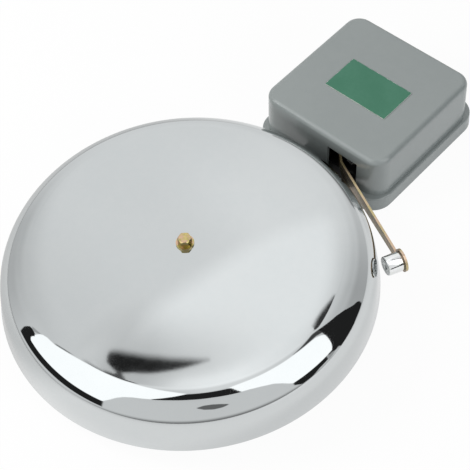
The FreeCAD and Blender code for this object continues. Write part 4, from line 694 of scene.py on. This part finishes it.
# The share of the studio's light that falls on matt surfaces, straight and by way of the plating
FILL_SHARE, GLANCED_SHARE = 0.5, 0.12
STUDIO_TINT = (0.985, 0.995, 1.0)
# How much of the floor's own white the camera and the plating see, over its lit paper
FLOOR_SEEN, FLOOR_MIRRORED = 0.95, 0.6
# The floor that the plating mirrors is darker to the left of the gong
FLOOR_DIM_SIDE, FLOOR_DIMMED = (-0.98, -0.19, 0.0), 0.56
FLOOR_SIZE, FLOOR_DROP = 8.0, 0.2 * MM

# The room's brightness round the shoulder where it meets the crown, and further down
NEAR_CROWN = [
    (-180, 0.94), (-150, 0.93), (-130, 0.89), (-112, 0.79), (-90, 0.74), (-72, 0.77), (-55, 0.86), (50, 0.88),
    (62, 0.82), (75, 0.83), (90, 0.93), (106, 0.97), (125, 0.95), (180, 0.94),
]
FURTHER_DOWN = [
    (-180, 0.89), (-150, 0.91), (-132, 0.83), (-110, 0.65), (-92, 0.64), (-76, 0.73), (-66, 0.82), (-40, 0.78),
    (-10, 0.77), (10, 0.77), (30, 0.78), (50, 0.72), (66, 0.65), (76, 0.71), (92, 0.84), (106, 0.90),
    (125, 0.91), (150, 0.88), (180, 0.88),
]
# The change in it where the shoulder turns down to the side
TURNING_DOWN = [
    (-180, 0.98), (-125, 1.02), (-108, 0.97), (-84, 0.89), (-70, 0.98), (-45, 1.02), (-30, 1.05), (0, 1.03),
    (16, 1.04), (30, 1.02), (48, 1.0), (60, 0.77), (72, 0.78), (84, 0.84), (100, 0.86), (116, 0.93), (130, 1.0),
    (180, 0.98),
]
# The TILT where the dark behind the box begins, out of reach elsewhere
BEHIND_BOX = [
    (-180, 60), (90, 60), (98, 39), (103, 36.4), (112, 34.3), (119, 32.8), (126, 31), (138, 29), (143, 60),
    (180, 60),
]
# The pale wall between the crown and the soft boxes: its edges and its brightness
WALL_LOW = [(-45.7, 8.8), (-19.8, 8.2), (10.3, 8.0), (43.9, 9.0)]
WALL_HIGH = [(-45.7, 12.2), (-19.7, 14.6), (0.1, 19.9), (20, 18.7), (43.8, 17)]
WALL_LIGHT = [
    (-75, 0.82), (-38, 0.80), (-26, 0.86), (-18, 1.0), (-10, 1.13), (0, 1.25), (14, 1.27), (26, 1.16), (40, 1.08),
    (75, 1.1),
]
# How deep the stand's soft shadow is, up to the crown's middle
STAND_SHADOW = [
    (-75, 0.0), (-57, 0.0), (-49, 0.07), (-40, 0.27), (-26, 0.32), (-16, 0.27), (-6, 0.22), (4, 0.18), (14, 0.12),
    (28, 0.04), (42, 0.0), (75, 0.0),
]
# What stands in front of the room, each over the ones before: low edge, high edge, brightness and softness
PANELS = {
    "left soft box": (
        [(-65.2, 36.5), (-64.8, 30.6), (-63.7, 22.9), (-61.5, 19.4), (-58.5, 18.2), (-54.5, 14.4), (-48.9, 11.0),
         (-44.5, 9.7), (-40.4, 9.8), (-35.7, 10.3), (-31.9, 10.9), (-27.6, 11.1), (-19.8, 13.1), (-11.7, 16.2),
         (-6.4, 19.4)],
        [(-65.1, 44.5), (-57.8, 44.2), (-32.9, 49.2), (-30.8, 43.4), (-28.9, 37.5), (-26.7, 33.5), (-23.9, 31),
         (-17.8, 29), (-6.4, 19.6)],
        WHITE, {"soft": 0.5, "soft_low": 0.9},
    ),
    "right soft box": (
        [(7.6, 20.3), (10.1, 18.9), (14.1, 18.3), (24.9, 17.7), (34.8, 17.8), (40.9, 18.7), (43.4, 20.5), (45, 24),
         (46.2, 29), (46.4, 41.1), (46.4, 51.1)],
        [(7.5, 20.9), (9.3, 25.8), (11.1, 30.3), (14.1, 30.9), (18, 33.4), (21.9, 37.4), (24.4, 43), (26.6, 49.5),
         (27.4, 51.4), (35.1, 51.3), (44.1, 50.9), (46.4, 51.0)],
        WHITE, {"soft": 0.5, "soft_low": 1.0},
    ),
    "flag between the soft boxes": (
        [(-17.8, 28.8), (-6.8, 19.9), (0.1, 20.1), (8.6, 20.8), (10.3, 26.8), (11.5, 30.3)],
        [(-17.8, 29.6), (-11.9, 28.4), (-5.9, 28.2), (2.2, 28.7), (11.5, 30.7)],
        BLACK, {},
    ),
    "flag left of the left box": (
        [(-69.7, 38.6), (-68.7, 31.8), (-67.1, 29.8), (-65.6, 30.6), (-64.6, 31.6), (-64.5, 33.4)],
        [(-69.7, 46.0), (-65.9, 44.5), (-65.3, 38.4), (-64.9, 34.2), (-64.5, 33.6)],
        BLACK, {"soft_end": 0.2},
    ),
    "flag under the left box": (
        [(-69.7, 38.6), (-68.7, 33.0), (-67.0, 33.2), (-65.6, 38.2), (-64.4, 42.1), (-59.9, 43.3), (-45.9, 46.4),
         (-32.5, 49.2)],
        [(-69.7, 49.4), (-61.9, 51.5), (-45.8, 55.1), (-32.5, 57.5)],
        BLACK, {},
    ),
    "grey wedge by the left box": (
        [(-67.8, 28.0), (-66.4, 26.4), (-64.6, 24.4), (-63.6, 22.9)],
        [(-67.8, 29.6), (-66.3, 30.6), (-64.7, 27.4), (-63.5, 23.2)],
        0.48, {"soft": 0.8, "soft_end": 0.6},
    ),
    "dark line over the left box": (
        [(-58.0, 15.6), (-55.1, 12.7), (-52.0, 10.6)],
        [(-58.0, 18.0), (-55.1, 15.1), (-52.0, 12.4)],
        0.32, {"soft": 0.5, "soft_end": 0.9},
    ),
    "flag under the right box": (
        [(27.4, 51.4), (41, 51.1)],
        [(27.4, 55), (29.9, 60.5), (33.9, 60.3), (37, 57.6), (41, 56.6)],
        BLACK, {},
    ),
    "grey join of the right flags": (
        [(41.2, 51.2), (44.0, 51.0), (46.6, 51.5)],
        [(41.2, 58.0), (43.2, 57.2), (44.6, 55.6), (45.7, 56.4), (46.6, 57.5)],
        0.44, {"soft": 0.8, "soft_end": 0.4},
    ),
    "dark join of the right flags": (
        [(41.9, 51.1), (44.2, 50.9)],
        [(41.9, 52.9), (43.2, 53.4), (44.2, 54.0)],
        0.07, {"soft": 0.35, "soft_end": 0.3},
    ),
    "flag right of the right box": (
        [(43.6, 51.6), (44.6, 46.5), (45.4, 40), (45.8, 31), (46.1, 14.8), (49.9, 20), (53.9, 25.2), (57.0, 31.5),
         (58.8, 37), (60.2, 41), (62, 44.6), (62.7, 48.2)],
        [(43.6, 53.8), (44.6, 55.4), (45.4, 55.4), (46.1, 54.4), (46.6, 57.0), (47.6, 60.7), (50.1, 60.7),
         (52.9, 58.6), (57, 55.2), (61, 54.3), (62.6, 53.3)],
        BLACK, {},
    ),
    "flag over the right box": (
        [(33.4, 16.9), (37.8, 15.7), (44.2, 13.3), (46.3, 15)],
        [(33.4, 17.1), (39.8, 18.4), (43.9, 19.4), (46.3, 23)],
        0.07, {"soft": 1.0},
    ),
    "long stand at the crown": (
        [(-42.0, 7.9), (-38.2, 7.62), (-31.6, 7.35), (-20.7, 7.09), (-10.0, 7.04), (-4.9, 7.07), (4.1, 7.26)],
        [(-42.0, 8.15), (-40.2, 8.58), (-34.6, 8.90), (-28.7, 8.40), (-14.8, 7.79), (-5.2, 7.46), (0.1, 7.33),
         (4.3, 7.28)],
        BLACK, {"soft": 0.12, "soft_low": 0.3, "soft_end": 1.0},
    ),
    "thin line left of the stand": (
        [(-47.0, 9.35), (-41.0, 9.26), (-37.0, 9.17)],
        [(-47.0, 9.7), (-41.0, 9.8), (-37.0, 10.1)],
        0.42, {"soft": 0.05, "soft_end": 2.5},
    ),
    "foot of the stand": (
        [(-39.0, 9.17), (-35.4, 9.08), (-34.6, 8.78), (-33.8, 8.66), (-33.2, 8.72), (-32.2, 8.92), (-30.6, 9.12),
         (-28.2, 9.4), (-25.5, 10.0)],
        [(-39.0, 9.5), (-34.8, 9.9), (-31.6, 10.2), (-29.0, 10.5), (-25.5, 10.6)],
        0.1, {"soft": 0.06, "soft_end": 1.0},
    ),
    "short stand on the right": (
        [(46.6, 11.2), (47.7, 9.4), (51.5, 9.3), (54.7, 9.35), (58.0, 9.5), (62.6, 9.8)],
        [(46.6, 12.6), (48.1, 13.6), (50.7, 12.9), (53.7, 12.0), (57.2, 11.0), (60.2, 10.2), (62.6, 9.95)],
        0.05, {"soft": 0.2, "soft_end": 0.8},
    ),
    "lens hood": (
        [(-3.4, 40.3), (-1.2, 38.1), (1.4, 38.1), (4.0, 39.6), (6.4, 42.0)],
        [(-3.4, 40.9), (-1.2, 44.0), (1.8, 45.6), (4.6, 45.0), (6.4, 43.2)],
        0.17, {"soft": 0.5},
    ),
}


def height_curve(tree, turn, span, points, peak=TILT_SPAN):
    """A height over ROUND, through points of (ROUND, height)."""
    share = ramp(tree, turn, -span, span, smooth=False)
    made = add(tree, "FloatCurve", {"Value": share})
    curve = made.mapping.curves[0]
    while len(curve.points) < len(points):
        curve.points.new(0.5, 0.5)
    for point, (angle, height) in zip(curve.points, points):
        point.location = ((angle / span + 1) / 2, height / peak)
        point.handle_type = "VECTOR"
    made.mapping.update()
    return maths(tree, "MULTIPLY", made.outputs["Value"], peak)


def between(tree, content, low, high, soft):
    """1 where content lies from low to high, with soft ends."""
    first = ramp(tree, content, low - soft, low + soft)
    return maths(tree, "MULTIPLY", first, ramp(tree, content, high + soft, high - soft))


def panel(tree, turn, tilt, low, high, soft=0.35, soft_low=None, soft_end=0.35):
    """1 between the curves low and high, which run over the same stretch of ROUND."""
    soft_low = soft_low or soft
    above = maths(tree, "SUBTRACT", tilt, height_curve(tree, turn, FRONT_SPAN, low))
    below = maths(tree, "SUBTRACT", height_curve(tree, turn, FRONT_SPAN, high), tilt)
    inside = maths(tree, "MULTIPLY", ramp(tree, above, -soft_low, soft_low), ramp(tree, below, -soft, soft))
    return maths(tree, "MULTIPLY", inside, between(tree, turn, low[0][0], low[-1][0], soft_end))


def gong_angles(tree):
    """For the way a ray goes: the lean of the plating that mirrors it, and its ROUND and TILT."""
    seen = add(tree, "TexCoord").outputs["Generated"]
    lean = vectors(tree, "NORMALIZE", vectors(tree, "ADD", seen, MIRRORED)["Vector"])["Vector"]
    faced = {"Vector": lean, "Angle": -atan2(MIRRORED.y, MIRRORED.x)}
    level = add(tree, "VectorRotate", faced, rotation_type="Z_AXIS").outputs[0]
    parts = add(tree, "SeparateXYZ", {0: level}).outputs
    turn = maths(tree, "MULTIPLY", maths(tree, "ARCTAN2", parts["Y"], parts["X"]), degrees(1))
    tilt = maths(tree, "MULTIPLY", maths(tree, "ARCCOSINE", parts["Z"]), degrees(1))
    return add(tree, "SeparateXYZ", {0: lean}).outputs, turn, tilt


def crown_light(tree, lean):
    """The room seen in the crown: paler beyond a soft upright edge, a little darker low on the left."""
    upper = maths(tree, "MAXIMUM", lean["Y"], 0.0)
    beyond = maths(tree, "MULTIPLY_ADD", lean["Y"], -0.22, lean["X"])
    beyond = maths(tree, "MULTIPLY_ADD", maths(tree, "MULTIPLY", upper, upper), -1.6, beyond)
    risen = maths(tree, "MULTIPLY", ramp(tree, lean["X"], -0.13, 0.045), ramp(tree, lean["Y"], 0.0, 0.085))
    crown = mixed_value(tree, ramp(tree, beyond, 0.023, 0.056), mixed_value(tree, risen, 0.94, 1.03), 1.15)
    crown = maths(tree, "MULTIPLY", crown, ramp(tree, lean["Y"], 0.07, 0.16, 1.0, 0.96))
    return maths(tree, "MULTIPLY", crown, ramp(tree, lean["Y"], -0.15, -0.04, 0.92, 1.0))


def room_light(tree, lean, turn, tilt):
    """The whole room: in the crown, round the shoulder, down the side and behind the box."""
    near = height_curve(tree, turn, ALL_ROUND, NEAR_CROWN, peak=1.0)
    sides = height_curve(tree, turn, ALL_ROUND, FURTHER_DOWN, peak=1.0)
    shade = mixed_value(tree, ramp(tree, tilt, 12.0, 25.0), near, sides)
    shade = mixed_value(tree, ramp(tree, tilt, 8.4, 10.4), crown_light(tree, lean), shade)
    lower = height_curve(tree, turn, ALL_ROUND, TURNING_DOWN, peak=1.25)
    shade = maths(tree, "MULTIPLY", shade, mixed_value(tree, ramp(tree, tilt, 27.0, 36.0), 1.0, lower))
    past = maths(tree, "SUBTRACT", tilt, height_curve(tree, turn, ALL_ROUND, BEHIND_BOX))
    return maths(tree, "MULTIPLY", shade, mixed_value(tree, ramp(tree, past, -2.8, 2.8), 1.0, 0.27))


def wall_light(tree, turn, tilt):
    """The pale wall's brightness, with a darker foot."""
    wall = height_curve(tree, turn, FRONT_SPAN, WALL_LIGHT, peak=1.5)
    return maths(tree, "MULTIPLY", wall, ramp(tree, tilt, 11.0, 15.5, 1.0, 0.78))


def stand_shade(tree, turn, tilt):
    """What the stand's soft shadow leaves of the light."""
    shadow = height_curve(tree, turn, FRONT_SPAN, STAND_SHADOW, peak=1.0)
    reach = ramp(tree, turn, -26.0, -6.0, 11.0, 8.6)
    fading = maths(tree, "MULTIPLY", ramp(tree, tilt, 3.6, 7.4), ramp(tree, tilt, reach, 7.5))
    return maths(tree, "SUBTRACT", 1.0, maths(tree, "MULTIPLY", shadow, fading))


def seen_in_plating(tree, rays):
    """1 for a ray that comes from a mirror or through glass, not straight from the camera."""
    return maths(tree, "ADD", rays["Is Glossy Ray"], rays["Is Transmission Ray"], clamp=True)


def make_world():
    """The studio round the gong, full for what mirrors it, dimmer as a light on matt surfaces."""
    world = bpy.data.worlds.new("studio")
    bpy.context.scene.world = world
    world.use_nodes = True
    tree = world.node_tree
    tree.nodes.clear()
    lean, turn, tilt = gong_angles(tree)
    shade = room_light(tree, lean, turn, tilt)
    wall = panel(tree, turn, tilt, WALL_LOW, WALL_HIGH, soft=1.6, soft_end=6.0)
    shade = mixed_value(tree, wall, shade, wall_light(tree, turn, tilt))
    shade = maths(tree, "MULTIPLY", shade, stand_shade(tree, turn, tilt))
    for low, high, brightness, softness in PANELS.values():
        shade = mixed_value(tree, panel(tree, turn, tilt, low, high, **softness), shade, brightness)
    rays = add(tree, "LightPath").outputs
    direct = maths(tree, "LESS_THAN", rays["Diffuse Depth"], 0.5)
    glanced = ramp(tree, direct, 0.0, 1.0, GLANCED_SHARE, 1.0, smooth=False)
    shown = maths(tree, "MULTIPLY", shade, mixed_value(tree, seen_in_plating(tree, rays), FILL_SHARE, glanced))
    shown = mixed_value(tree, rays["Is Camera Ray"], shown, 1.0)
    light = add(tree, "Background", {"Color": rgb(*STUDIO_TINT), "Strength": shown})
    end = add(tree, "OutputWorld", {"Surface": light.outputs[0]})
    end.is_active_output = True


def make_floor():
    """White paper that catches the shadow and shows nearly white."""
    bpy.ops.object.select_all(action="DESELECT")
    bpy.ops.mesh.primitive_plane_add(size=FLOOR_SIZE, location=(0.0, 0.0, -FLOOR_DROP))
    floor = bpy.context.object
    floor.name = "pale_floor"
    material = bpy.data.materials.new("pale_floor")
    material.use_nodes = True
    tree = material.node_tree
    tree.nodes.clear()
    paper = noise(tree, places(tree), 35.0, 4.0, 0.6)
    white = mixed(tree, paper, rgb(0.90, 0.905, 0.91), rgb(0.93, 0.935, 0.94))
    matt = add(tree, "BsdfDiffuse", {"Color": white}).outputs[0]
    rays = add(tree, "LightPath").outputs
    mirrored = seen_in_plating(tree, rays)
    outward = vectors(tree, "NORMALIZE", own_places(tree))["Vector"]
    leftward = vectors(tree, "DOT_PRODUCT", outward, FLOOR_DIM_SIDE)["Value"]
    level = mixed_value(tree, mirrored, 1.0, ramp(tree, leftward, 0.25, 0.76, 1.03, FLOOR_DIMMED))
    glow = add(tree, "Emission", {"Color": rgb(1.0, 1.0, 1.0), "Strength": level}).outputs[0]
    share = maths(tree, "MULTIPLY", mirrored, FLOOR_MIRRORED)
    share = maths(tree, "MULTIPLY_ADD", rays["Is Camera Ray"], FLOOR_SEEN, share, clamp=True)
    surface = add(tree, "MixShader", {0: share, 1: matt, 2: glow}).outputs[0]
    add(tree, "OutputMaterial", {"Surface": surface})
    floor.data.materials.append(material)


# Lamps for the box, which the plating doesn't mirror: place, size, power and tint
BOX_MIDDLE = (0.0, 0.186, 0.045)
LAMPS = {
    "front_left_lamp": ((-0.45, -0.30, 0.50), 0.35, 3.2, (1.0, 0.99, 0.97)),
    "right_lamp": ((1.05, 0.02, 0.58), 0.5, 3.7, (0.98, 0.99, 1.0)),
}


def make_lamp(name, place, size, power, tint):
    """A round soft lamp that faces the box."""
    data = bpy.data.lights.new(name, "AREA")
    data.shape, data.size, data.energy, data.color = "DISK", size, power, tint
    lamp = bpy.data.objects.new(name, data)
    bpy.context.scene.collection.objects.link(lamp)
    lamp.location = place
    lamp.rotation_euler = (Vector(BOX_MIDDLE) - Vector(place)).to_track_quat("-Z", "Y").to_euler()
    lamp.visible_glossy = False


make_camera()
make_world()
make_floor()
for name, settings in LAMPS.items():
    make_lamp(name, *settings)
bpy.context.scene.view_settings.view_transform = "Standard"
